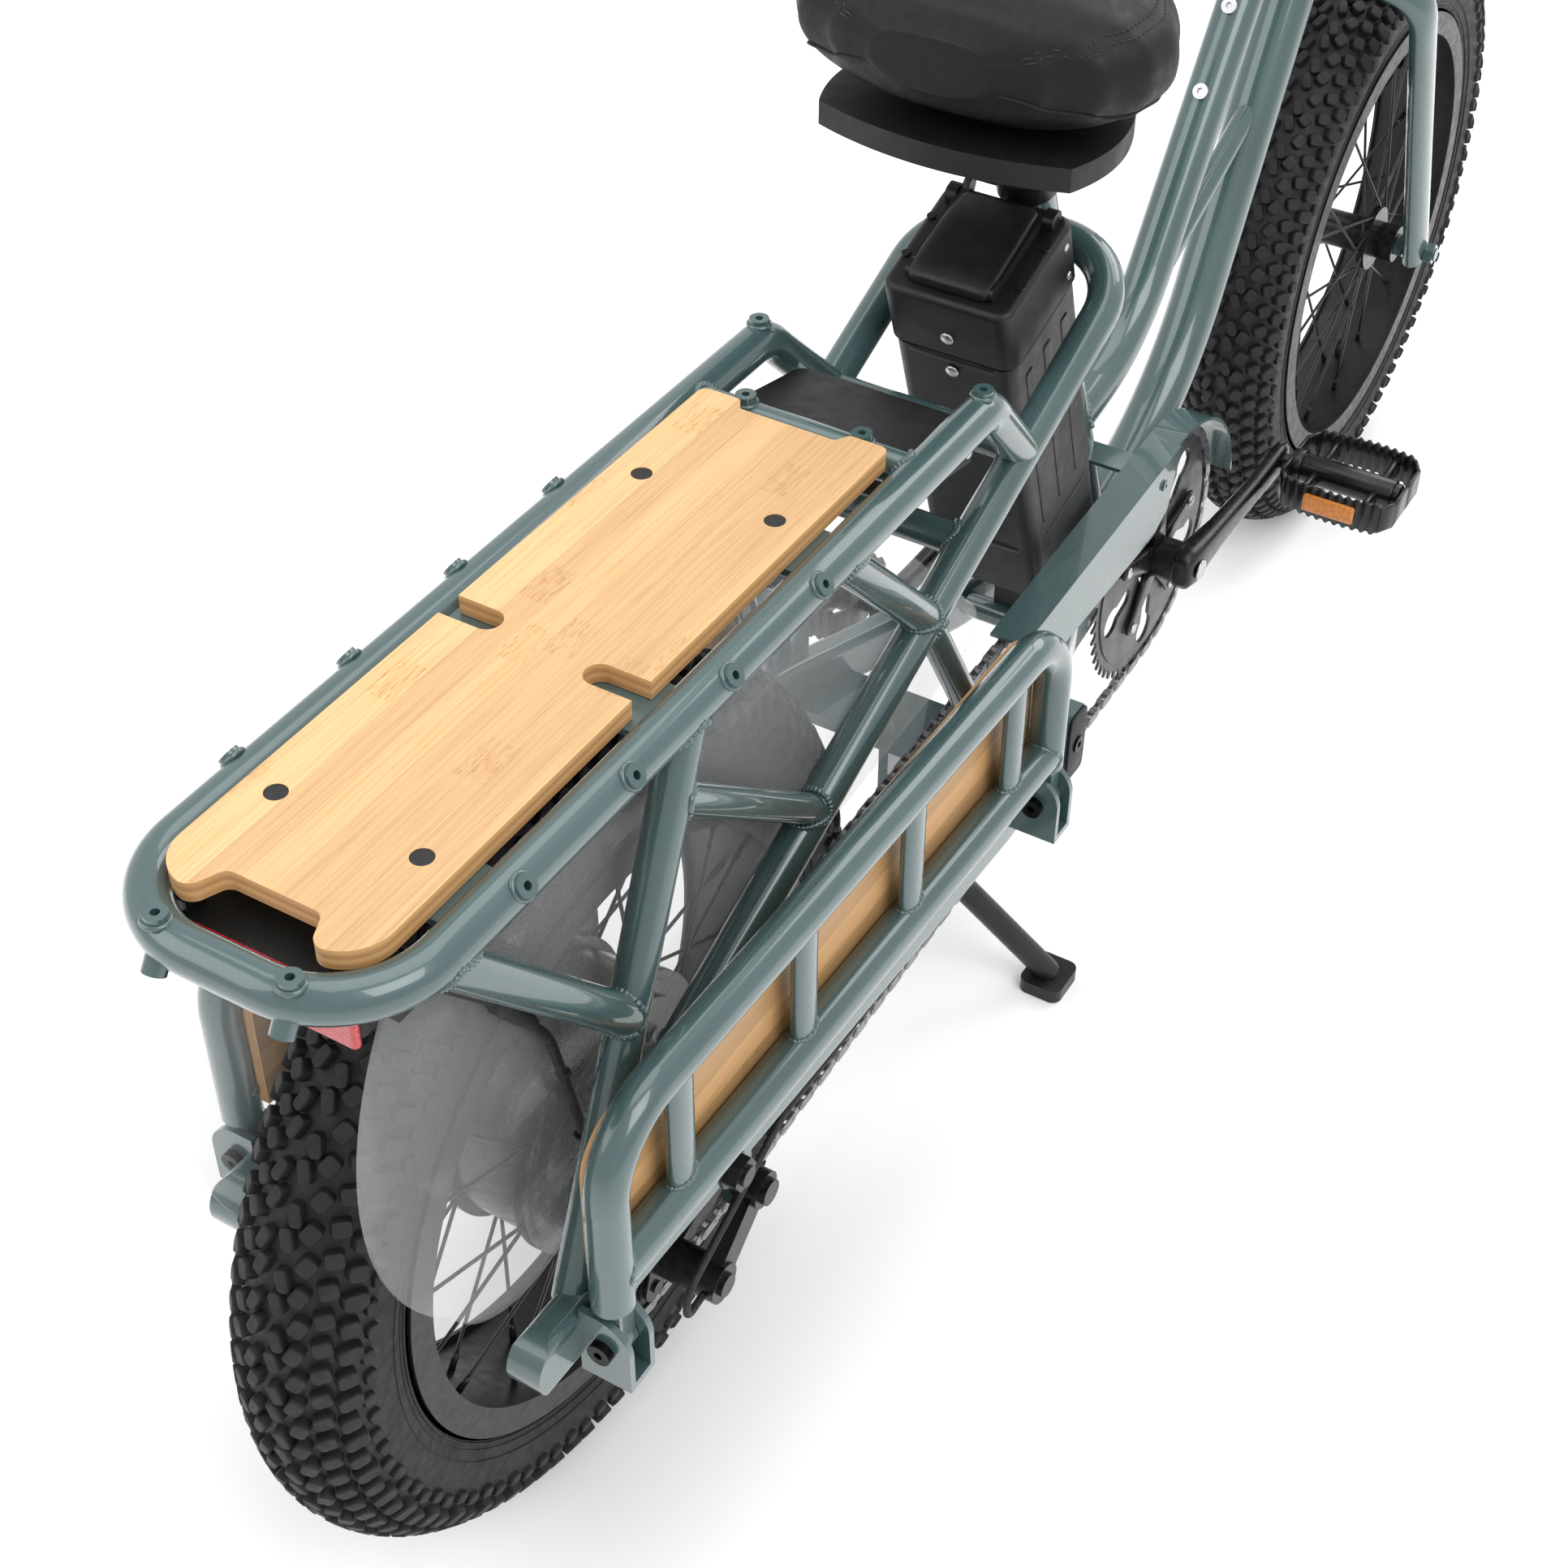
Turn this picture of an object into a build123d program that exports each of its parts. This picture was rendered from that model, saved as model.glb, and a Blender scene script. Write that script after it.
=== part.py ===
"""Long-tail electric cargo bicycle. +X forward, +Y left, +Z up, millimetres.

Every length along X is first measured from the rear axle. The finished nodes are then moved so that
the origin is on the ground, midway between the two axles.
"""

import math
import os

from build123d import *

# Wheels and ground
WHEELBASE = 1281.0
TYRE_RADIUS = 288.0
TYRE_HALF_WIDTH = 45.0
RIM_RADIUS = 211.0
RIM_HALF_WIDTH = 40.0
RIM_BED_RADIUS = 200.0
SPOKE_COUNT = 36
SPOKE_RADIUS = 1.3
DISC_RADIUS = 80.0
DISC_THICKNESS = 1.8
AXLE_HEIGHT = TYRE_RADIUS
FIT = 0.05  # radial clearance of every running fit
GAP = 0.4  # clearance between neighbours that move past each other

# Main frame, in the mid plane unless a Y is given
HEAD_ANGLE = 70.0
FORK_OFFSET = 50.0
HEAD_TUBE_LOW = 405.0  # along the steering axis, from the foot of the axle's normal
HEAD_TUBE_HIGH = 605.0
HEAD_TUBE_RADIUS = 25.0
UPPER_TUBE_RADIUS = 17.5
DOWN_TUBE_RADIUS = 21.0
SEAT_TUBE_RADIUS = 17.45
SEAT_POST_RADIUS = 15.4
SEAT_TUBE_TOP = 660.0
SEAT_TUBE_SLOPE = -0.4247  # change of X for each unit of Z
SEAT_TUBE_FOOT = (735.0, 265.0)
CRANK_CENTRE = (736.0, 0.0, 265.0)
SHELL_RADIUS = 24.0
SHELL_HALF = 50.0
WALL = 2.0

# Rear frame
STAY_RADIUS = 12.7
STAY_Y = 73.0
STAY_SLOPE = 0.43
STAY_FOOT_Z = 354.0
LOOP_FRONT_X = 590.0
LOOP_BEND = 55.0
CHAINSTAY_Y = 106.0
CHAINSTAY_WIDTH = 22.0
CHAINSTAY_HEIGHT = 40.0
CHAINSTAY_TAIL_X = -197.0
REAR_AXLE_RADIUS = 7.0
FRONT_AXLE_RADIUS = 6.0

# Cargo rack
RAIL_RADIUS = 12.7
RAIL_Y = 80.0
RAIL_Z = 615.0
HOOP_X = -250.0
HOOP_BEND = 58.0
RAIL_FRONT_X = 361.0
RAIL_END = (431.0, 72.0, 543.0)
STRUT_RADIUS = 12.0
CROSS_TUBE_X = 275.0
BOSS_RADIUS = 6.5
BOSS_TOP = 631.5
BOSS_HOLE = 2.5
BOSS_DEPTH = 11.0
TOP_BOSS_Y = 40.5
SIDE_BOSS_X = (143.0, 49.0, -45.0, -139.0)
SIDE_BOSS_TILT = 35.0
DECK_TOP = 634.0
DECK_THICKNESS = 12.0
DECK_FRONT = 265.0
DECK_REAR = -231.0
DECK_HALF = 65.0
PLUG_X = (168.0, -157.0)
PLUG_Y = 45.0
PLUG_RADIUS = 6.4
CONTROLLER_HALF = 66.0
GUARD_Y = -60.2
GUARD_THICKNESS = 2.5

# Folding side racks
RACK_Y = 131.5
RACK_PIVOT_Z = 303.0
RACK_TUBE_RADIUS = 12.7
RACK_TOP_Z = (467.0, 453.0)  # rear and front
RACK_LOW_Z = (357.0, 344.0)
RACK_LEGS = (-145.0, 384.0)
RACK_BEND = 48.0
RACK_BARS = (-74.0, 59.0, 190.0, 327.0)
PANEL_THICKNESS = 7.0
BOLT_RADIUS = 4.0
EAR_GAP = 15.0
EAR_THICKNESS = 4.5
EAR_LOW_Z = 275.0
EAR_TOP_Z = 328.0
EAR_OUTER_Y = 149.5
RACK_LEG_END = 333.5  # foot of the bent tube, above the ears

# Drive
CRANK_LENGTH = 170.0
CRANK_ANGLE = 2.5
CHAIN_PITCH = 12.7
RING_TEETH = 52
CHAIN_Y = -57.0
SPROCKETS = ((14, -72.0), (16, -67.0), (18, -62.0), (20, -57.0), (22, -52.0), (24, -47.0), (28, -42.0))
DRIVEN_TEETH = 20
PULLEY_TEETH = 12
GUIDE_PULLEY = (12.0, 214.0)
CAGE_LENGTH = 70.0
CAGE_ANGLE = -14.0  # degrees ahead of straight down, before the chain is fitted
TOOTH_THICKNESS = 1.8
ROLLER_RADIUS = 3.85
PLATE_HEIGHT = 8.4

# Hubs
MOTOR_RADIUS = 88.0
MOTOR_HALF = 36.0
MOTOR_FLANGE = (94.0, 28.0)  # radius and Y
REAR_DISC_Y = 50.0
FRONT_FLANGE = (30.0, 35.0)
FRONT_DISC_Y = 54.5
FLANGE_THICKNESS = 7.0

# Battery, leaning with the seat tube; its frame starts at the lid's rear top edge
BATTERY_LEAN = math.radians(71.2)
BATTERY_CORNER = (451.0, 619.0)
BATTERY_DEPTH = 100.0
BATTERY_LENGTH = 300.0
BATTERY_HALF_WIDTH = 45.0
LID_HALF_WIDTH = 47.5
LID_DEEP = 50.0

# Saddle
SADDLE_REAR = 415.0
SADDLE_NOSE = 695.0
SADDLE_HALF_WIDTH = 125.0
SADDLE_LOW = 742.0
SADDLE_PAN = 16.0
SEAT_POST_TOP = 704.0

# Centre stand
STAND_PIVOT = (445.0, 0.0, 150.0)
STAND_FOOT = (500.0, 104.0, 0.0)
STAND_TUBE_RADIUS = 10.0

# Cockpit, distances along the steering axis from the foot of the front axle's normal
STEERER_RADIUS = 14.3
STEERER_TOP = 688.0
CROWN = 376.0
BLADE_Y = 78.0
BAR_CLAMP = (60.0, 0.0, 674.0)
BAR_RADIUS = 11.1
GRIP_RADIUS = 16.0
GRIP_LENGTH = 125.0

ORIGIN_SHIFT = Pos(-WHEELBASE / 2, 0, 0)
REAR_AXLE = (0.0, 0.0, AXLE_HEIGHT)
FRONT_AXLE = (WHEELBASE, 0.0, AXLE_HEIGHT)


# ---------------------------------------------------------------- helpers


def write(name, *pieces):
    """Write the solids of one node, moved to the shared origin."""
    solids = [ORIGIN_SHIFT * solid for piece in pieces for solid in piece.solids()]
    shape = solids[0] if len(solids) == 1 else Compound(children=solids)
    shape.label = name
    export_step(shape, f"parts/{name}.step")


def rod(start, end, radius, bore=0.0):
    """Round bar or tube between two points."""
    line = Line(start, end)
    profile = Circle(radius)
    if bore:
        profile -= Circle(bore)
    return extrude(Plane(origin=start, z_dir=line % 0) * profile, line.length)


def swept(points, radii, profile, x_dir=None):
    """Profile carried along straight runs joined by tangent arcs."""
    path = FilletPolyline(*points, radius=radii)
    if x_dir is None:
        plane = Plane(origin=path @ 0, z_dir=path % 0)
    else:
        plane = Plane(origin=path @ 0, x_dir=x_dir, z_dir=path % 0)
    return sweep(plane * profile, path=path)


def pipe(points, radii, radius, wall=WALL):
    """Bent round tube: its outside, and the tube with its bore."""
    outside = swept(points, radii, Circle(radius))
    return outside, outside - swept(points, radii, Circle(radius - wall))


def across(x, z, radius, low_y, high_y):
    """Round bar parallel to Y."""
    return rod((x, low_y, z), (x, high_y, z), radius)


def block(low, high, round_edges=0.0, axis=Axis.Y):
    """Box from its two corners, with the edges along one axis rounded."""
    size = [h - l for l, h in zip(low, high)]
    centre = [(h + l) / 2 for l, h in zip(low, high)]
    box = Pos(*centre) * Box(*size)
    if round_edges:
        box = fillet(box.edges().filter_by(axis), round_edges)
    return box


def ring(radius, bore, low_y, high_y):
    """Flat ring about the Y axis."""
    plane = Plane(origin=(0, low_y, 0), x_dir=(1, 0, 0), z_dir=(0, 1, 0))
    return extrude(plane * (Circle(radius) - Circle(bore)), high_y - low_y)


def both_sides(piece):
    """A piece and its mirror image across the bicycle's mid plane."""
    return [piece, mirror(piece, about=Plane.XZ)]


def stay_z(x):
    """Height of the seat stays' centre line."""
    return STAY_FOOT_Z + STAY_SLOPE * x


def seat_axis(z):
    """Point on the seat tube's axis at a height."""
    return (SEAT_TUBE_FOOT[0] + SEAT_TUBE_SLOPE * (z - SEAT_TUBE_FOOT[1]), 0.0, z)


def steering_frame():
    """Plane whose Z is the steering axis and whose X points forward through the front axle."""
    angle = math.radians(HEAD_ANGLE)
    forward = Vector(math.sin(angle), 0, math.cos(angle))
    foot = Vector(*FRONT_AXLE) - forward * FORK_OFFSET
    return Plane(origin=foot, x_dir=forward, z_dir=(-math.cos(angle), 0, math.sin(angle)))


STEER = steering_frame()


def steer_point(x, y, s):
    """Point given in the steering frame."""
    return tuple(STEER.from_local_coords((x, y, s)))


# ---------------------------------------------------------------- main frame


def main_frame():
    """Head tube, upper tube, down tube, brace, seat tube and bottom bracket shell."""
    head_solid = rod(steer_point(0, 0, HEAD_TUBE_LOW), steer_point(0, 0, HEAD_TUBE_HIGH), HEAD_TUBE_RADIUS)
    head_bore = rod(steer_point(0, 0, HEAD_TUBE_LOW), steer_point(0, 0, HEAD_TUBE_HIGH), 22.0)
    shell_ends = [(CRANK_CENTRE[0], side * SHELL_HALF, CRANK_CENTRE[2]) for side in (-1, 1)]
    shell_solid = rod(*shell_ends, SHELL_RADIUS)
    seat_ends = (seat_axis(SEAT_TUBE_FOOT[1] + 5), seat_axis(SEAT_TUBE_TOP))
    seat_solid = rod(*seat_ends, SEAT_TUBE_RADIUS)
    upper_points = [seat_axis(405.0), (775.0, 0.0, 425.0), steer_point(0, 0, 563.0)]
    upper_solid, upper = pipe(upper_points, 150.0, UPPER_TUBE_RADIUS)
    down_points = [
        (CRANK_CENTRE[0], 0.0, CRANK_CENTRE[2] + 3),
        (880.0, 0.0, 318.0),
        steer_point(0, 0, 440.0),
    ]
    down_solid, down = pipe(down_points, 240.0, DOWN_TUBE_RADIUS)
    below_head = rod(steer_point(0, 0, HEAD_TUBE_LOW - 80), steer_point(0, 0, HEAD_TUBE_LOW), 29.0)
    brace = rod((806.0, 0, 450.0), (988.0, 0, 533.0), 9.0)
    seat = seat_solid - rod(*seat_ends, SEAT_POST_RADIUS + FIT) - shell_solid
    return [
        head_solid - head_bore,
        upper - head_solid - seat_solid,
        down - head_solid - shell_solid - seat_solid - below_head,
        max((brace - upper_solid - down_solid).solids(), key=lambda solid: solid.volume),
        seat,
        shell_solid - rod(*shell_ends, 19.0),
    ]


def headset():
    """Bearing cups in the head tube's two ends, with the top cover."""
    pieces = []
    for low, high, flange in (
        (HEAD_TUBE_LOW - 9, HEAD_TUBE_LOW + 14, HEAD_TUBE_LOW - 9),
        (HEAD_TUBE_HIGH - 14, HEAD_TUBE_HIGH + 9, HEAD_TUBE_HIGH),
    ):
        cup = rod(steer_point(0, 0, low), steer_point(0, 0, high), 21.95)
        cup += rod(steer_point(0, 0, flange), steer_point(0, 0, flange + 9), 25.0)
        cup -= rod(steer_point(0, 0, low - 1), steer_point(0, 0, high + 1), STEERER_RADIUS + FIT)
        pieces.append(cup)
    return pieces


# ---------------------------------------------------------------- rear frame


def seat_stays_outside():
    """Outside of the tube that loops round the seat tube."""
    points = [
        (-30.0, -STAY_Y, stay_z(-30.0)),
        (LOOP_FRONT_X, -STAY_Y, stay_z(LOOP_FRONT_X)),
        (LOOP_FRONT_X, STAY_Y, stay_z(LOOP_FRONT_X)),
        (-30.0, STAY_Y, stay_z(-30.0)),
    ]
    return points, LOOP_BEND


CHAINSTAY_POINTS = (
    (CHAINSTAY_TAIL_X, -CHAINSTAY_Y, 306.0),
    (400.0, -CHAINSTAY_Y, 280.0),
    (600.0, -44.0, 265.0),
    (716.0, -34.0, 262.0),
)
CHAINSTAY_BENDS = (220.0, 160.0)


def chainstay_side():
    """One box-section chainstay, its rounded tail and its hole for the axle nut."""
    profile = RectangleRounded(CHAINSTAY_WIDTH, CHAINSTAY_HEIGHT, 7.0)
    return swept(CHAINSTAY_POINTS, CHAINSTAY_BENDS, profile, x_dir=(0, 1, 0))


def chainstay_hollow():
    """The bore of a chainstay, closed at its tail."""
    points = [(CHAINSTAY_TAIL_X + 16, -CHAINSTAY_Y, 305.3), *CHAINSTAY_POINTS[1:]]
    profile = RectangleRounded(CHAINSTAY_WIDTH - 6, CHAINSTAY_HEIGHT - 6, 4.0)
    return swept(points, CHAINSTAY_BENDS, profile, x_dir=(0, 1, 0))


def tail_rounding():
    """What is cut from a stay's tail so that it ends in a half round, seen from the side."""
    radius = CHAINSTAY_HEIGHT / 2
    corner = block((CHAINSTAY_TAIL_X - 2, -130, 280), (CHAINSTAY_TAIL_X + radius, -80, 330))
    return corner - across(CHAINSTAY_TAIL_X + radius, 305.3, radius - 0.2, -130, -80)


def hinge_bracket(leg_x):
    """Upward-open channel whose two ears hold a side rack's leg."""
    half = EAR_GAP / 2
    inner = -(CHAINSTAY_Y + CHAINSTAY_WIDTH / 2) + 1
    ear_pieces = []
    for low_x in (leg_x - half - EAR_THICKNESS, leg_x + half):
        ear = block((low_x, -EAR_OUTER_Y, EAR_LOW_Z), (low_x + EAR_THICKNESS, inner, EAR_TOP_Z))
        top_edge = ear.edges().filter_by(Axis.X).sort_by(Axis.Z)[-2:].sort_by(Axis.Y)[0]
        ear_pieces.append(fillet(top_edge, 22.0))
    web = block((leg_x - half, -EAR_OUTER_Y, EAR_LOW_Z), (leg_x + half, inner, EAR_LOW_Z + 5))
    bracket = ear_pieces[0] + ear_pieces[1] + web
    bolt_line = ((leg_x - 40, -RACK_Y, RACK_PIVOT_Z), (leg_x + 40, -RACK_Y, RACK_PIVOT_Z))
    return bracket - rod(*bolt_line, BOLT_RADIUS)


def outrigger():
    """Short box beam on a chainstay, ahead of the front hinge bracket."""
    return block((424, -130, 283), (451, -96, 341), 6.0)


def chainstay_parts():
    """Both chainstays, their cross pieces, the outrigger beams and the gear hanger."""
    shell = across(CRANK_CENTRE[0], CRANK_CENTRE[2], SHELL_RADIUS, -SHELL_HALF, SHELL_HALF)
    seat = rod(seat_axis(270.0), seat_axis(SEAT_TUBE_TOP), SEAT_TUBE_RADIUS)
    outside = chainstay_side() - tail_rounding()
    axle_hole = across(0, AXLE_HEIGHT, REAR_AXLE_RADIUS, -130, -80)
    stay = outside - chainstay_hollow() - axle_hole - shell - seat
    beam = outrigger() - outside
    parts = [*both_sides(max(stay.solids(), key=lambda solid: solid.volume)), *both_sides(beam)]
    pair = both_sides(outside)
    stand_plate = block((415, -100, 258), (475, 100, 268), 6.0, Axis.Z)
    lug = block((430, 14, STAND_PIVOT[2] - 14), (460, 22, 258))
    lug -= across(STAND_PIVOT[0], STAND_PIVOT[2], 5.0, 0, 40)
    lug = fillet(lug.edges().filter_by(Axis.Y).sort_by(Axis.Z)[:2], 12.0)
    stand = stand_plate + lug + mirror(lug, about=Plane.XZ)
    bridge = across(596.0, 268.0, 10.0, -44, 44)
    for piece in (stand, bridge):
        parts.append(max((piece - pair[0] - pair[1]).solids(), key=lambda solid: solid.volume))
    hanger = block((20, -104, 224), (44, -97, 279), 0)
    hanger -= across(32.0, 237.0, 4.0, -110, -90)
    parts.append(hanger - outside)
    return parts


def fold_brackets():
    """The four channels of the side racks' hinges."""
    outside = chainstay_side() - tail_rounding()
    return [side for x in RACK_LEGS for side in both_sides(hinge_bracket(x) - outside)]


def seat_stay_parts():
    """The two halves of the seat-stay loop, with their cross bridge."""
    points, bend = seat_stays_outside()
    outside, tube = pipe(points, bend, STAY_RADIUS)
    seat = rod(seat_axis(SEAT_TUBE_FOOT[1]), seat_axis(SEAT_TUBE_TOP), SEAT_TUBE_RADIUS)
    bridge = across(362.0, stay_z(362.0), 11.0, -STAY_Y, STAY_Y) - outside
    chainstays = both_sides(chainstay_side())
    link = rod((-24.0, -STAY_Y, stay_z(-24.0)), (-44.0, -103.0, 312.0), 11.0) - outside - chainstays[0]
    link = max(link.solids(), key=lambda solid: solid.volume)
    pieces = (tube - seat).solids()
    return [*pieces, bridge, *both_sides(link)]


# ---------------------------------------------------------------- cargo rack


def rail_points():
    """Centre line of the rack's rails and rear hoop."""
    half = [
        (RAIL_END[0], RAIL_END[1], RAIL_END[2]),
        (RAIL_FRONT_X, RAIL_Y, RAIL_Z),
        (HOOP_X, RAIL_Y, RAIL_Z),
    ]
    other = [(x, -y, z) for x, y, z in reversed(half)]
    return half + other


RAIL_BENDS = (32.0, HOOP_BEND, HOOP_BEND, 32.0)


def boss(point, direction, length=BOSS_DEPTH + 5):
    """Threaded boss whose mouth is at a point and faces along a direction."""
    mouth = Vector(*point)
    back = mouth - Vector(*direction).normalized() * length
    return rod(tuple(back), tuple(mouth), BOSS_RADIUS)


def boss_hole(point, direction):
    """Thread core of a boss."""
    mouth = Vector(*point)
    back = mouth - Vector(*direction).normalized() * BOSS_DEPTH
    front = mouth + Vector(*direction).normalized()
    return rod(tuple(back), tuple(front), BOSS_HOLE)


def boss_places():
    """Mouth and direction of each threaded boss on the rack."""
    places = [((HOOP_X, side * TOP_BOSS_Y, BOSS_TOP), (0, 0, 1)) for side in (-1, 1)]
    places += [((CROSS_TUBE_X, side * TOP_BOSS_Y, BOSS_TOP), (0, 0, 1)) for side in (-1, 1)]
    places += [((RAIL_FRONT_X - 6, side * RAIL_Y, BOSS_TOP), (0, 0, 1)) for side in (-1, 1)]
    tilt = math.radians(SIDE_BOSS_TILT)
    reach = RAIL_RADIUS + 3.5
    for side in (-1, 1):
        direction = (0, side * math.cos(tilt), math.sin(tilt))
        mouth_y = side * (RAIL_Y + reach * math.cos(tilt))
        mouth_z = RAIL_Z + reach * math.sin(tilt)
        places += [((x, mouth_y, mouth_z), direction) for x in SIDE_BOSS_X]
    places += [((HOOP_X - 10, side * 39.0, RAIL_Z - 15), (-0.55, 0, -0.83)) for side in (-1, 1)]
    return places


def rack_frame():
    """Rails, hoop, cross tubes, deck plates and threaded bosses, welded into one piece."""
    points = rail_points()
    stays = swept(*seat_stays_outside(), Circle(STAY_RADIUS))
    rack = swept(points, RAIL_BENDS, Circle(RAIL_RADIUS))
    front = across(CROSS_TUBE_X, RAIL_Z, 11.0, -RAIL_Y, RAIL_Y)
    low = across(RAIL_END[0], RAIL_END[2], 11.0, -RAIL_END[1], RAIL_END[1])
    rack = rack + front + low
    for x in (PLUG_X[0], 6.0, PLUG_X[1]):
        rack += block((x - 22, -RAIL_Y + 4, 617), (x + 22, RAIL_Y - 4, 621.5), 0)
    for mouth, direction in boss_places():
        rack += boss(mouth, direction)
    rack -= swept(points, RAIL_BENDS, Circle(RAIL_RADIUS - WALL))
    for mouth, direction in boss_places():
        rack += boss(mouth, direction) - boss_hole(mouth, direction)
        rack -= boss_hole(mouth, direction)
    for x in PLUG_X:
        for side in (-1, 1):
            rack -= Pos(x, side * PLUG_Y, 619) * Cylinder(2.6, 10)
    return rack - stays


STRUTS = (
    ((20.0, -RAIL_Y, 612.0), (-142.0, -101.0, 312.0)),
    ((-192.0, -RAIL_Y, 611.0), (-62.0, -91.5, 463.0)),
    ((1.0, -83.0, 570.0), (170.0, -STAY_Y, 427.0)),
    ((180.0, -RAIL_Y, 612.0), (306.0, -STAY_Y, 486.0)),
    ((306.0, -STAY_Y, 486.0), (398.0, -99.0, 288.0)),
)


def rack_struts():
    """Straight struts between rails, seat stays and chainstays, both sides."""
    rails = swept(rail_points(), RAIL_BENDS, Circle(RAIL_RADIUS))
    stays = swept(*seat_stays_outside(), Circle(STAY_RADIUS))
    chainstay = chainstay_side()
    done = []
    for start, end in STRUTS:
        radius = STRUT_RADIUS if start[2] > 600 or end[2] > 430 else 10.0
        strut = rod(start, end, radius)
        for other in (rails, stays, chainstay, *done):
            strut -= other
        done.append(strut)
    parts = []
    for strut in done:
        parts += both_sides(max(strut.solids(), key=lambda solid: solid.volume))
    return parts


def deck_board():
    """Laminated board with two side slots, a front notch and a tapered rear notch."""
    low = DECK_TOP - DECK_THICKNESS
    plane = Plane(origin=(0, 0, low))
    outline = make_face(
        Polyline(
            (DECK_FRONT, DECK_HALF),
            (DECK_FRONT, 38),
            (DECK_FRONT - 9, 33),
            (DECK_FRONT - 9, -33),
            (DECK_FRONT, -38),
            (DECK_FRONT, -DECK_HALF),
            (DECK_REAR, -DECK_HALF),
            (DECK_REAR, -37),
            (DECK_REAR + 19, -29),
            (DECK_REAR + 19, 29),
            (DECK_REAR, 37),
            (DECK_REAR, DECK_HALF),
            close=True,
        )
    )
    board = extrude(plane * outline, DECK_THICKNESS)
    rear = board.edges().filter_by(Axis.Z).filter_by_position(Axis.X, DECK_REAR - 1, DECK_REAR + 1)
    board = fillet([edge for edge in rear if abs(edge.center().Y) > 50], 27.0)
    for x, reach, radius in ((DECK_REAR, 37, 9.0), (DECK_REAR + 19, 29, 7.0), (DECK_FRONT, DECK_HALF, 6.0)):
        corners = board.edges().filter_by(Axis.Z).filter_by_position(Axis.X, x - 1, x + 1)
        board = fillet([edge for edge in corners if abs(abs(edge.center().Y) - reach) < 1], radius)
    for x, reach, radius in ((DECK_FRONT, 38, 4.0), (DECK_FRONT - 9, 33, 4.0)):
        corners = board.edges().filter_by(Axis.Z).filter_by_position(Axis.X, x - 1, x + 1)
        board = fillet([edge for edge in corners if abs(abs(edge.center().Y) - reach) < 1], radius)
    for side in (-1, 1):
        slot = plane * Pos(6 + 4 * side, side * 52) * SlotOverall(44, 18, rotation=90)
        board -= extrude(slot, DECK_THICKNESS)
        mouth = plane * Pos(6 + 4 * side, side * 62) * Rectangle(18, 20)
        board -= extrude(mouth, DECK_THICKNESS)
    for x in PLUG_X:
        for side in (-1, 1):
            board -= Pos(x, side * PLUG_Y, DECK_TOP - 2) * Cylinder(PLUG_RADIUS, 10)
    return board


def deck_plugs():
    """Round plastic plugs that cover the deck's screws."""
    plugs = []
    for x in PLUG_X:
        for side in (-1, 1):
            top = Pos(x, side * PLUG_Y, DECK_TOP - 3.7) * Cylinder(PLUG_RADIUS - FIT, 6.6)
            plugs.append(top)
    return plugs


def controller_cover():
    """Flat sloping case between the cross tubes that holds the motor controller."""
    profile = Polyline((289, 606), (385, 585), (381, 562), (285, 581), close=True)
    case = extrude(make_face(Plane.XZ * profile), CONTROLLER_HALF, both=True)
    ends = [edge for edge in case.edges() if abs(edge.center().Y) > CONTROLLER_HALF - 1]
    upright = [edge for edge in ends if edge.length < 30]
    return fillet(upright, 10.0)


def tail_light():
    """Rear lamp housing under the hoop, and its lens."""
    housing = block((-226, -55, 574), (-196, 55, 603), 6.0, Axis.Z)
    lens = block((-232, -56.5, 574), (-226, 56.5, 604), 2.5, Axis.Z)
    hoop = swept(rail_points(), RAIL_BENDS, Circle(RAIL_RADIUS))
    arm = block((-223, 50, 597), (-209, 78, 610))
    housing = housing + arm + mirror(arm, about=Plane.XZ) - lens
    return [housing - hoop, lens]


def wheel_guard():
    """Clear plate that keeps bags and feet out of the rear wheel, right side."""
    outline = make_face(
        [
            Line((-200, 601), (240, 601)),
            Line((240, 601), (400, 432)),
            ThreePointArc((400, 432), (409, 408), (390, 390)),
            Line((390, 390), (62, 366)),
            ThreePointArc((62, 366), (-12, 352), (-62, 306)),
            ThreePointArc((-62, 306), (-124, 279), (-196, 326)),
            ThreePointArc((-196, 326), (-249, 480), (-200, 601)),
        ]
    )
    plane = Plane(origin=(0, GUARD_Y, 0), x_dir=(1, 0, 0), z_dir=(0, -1, 0))
    return extrude(plane * outline, -GUARD_THICKNESS)


# ---------------------------------------------------------------- side racks


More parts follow.
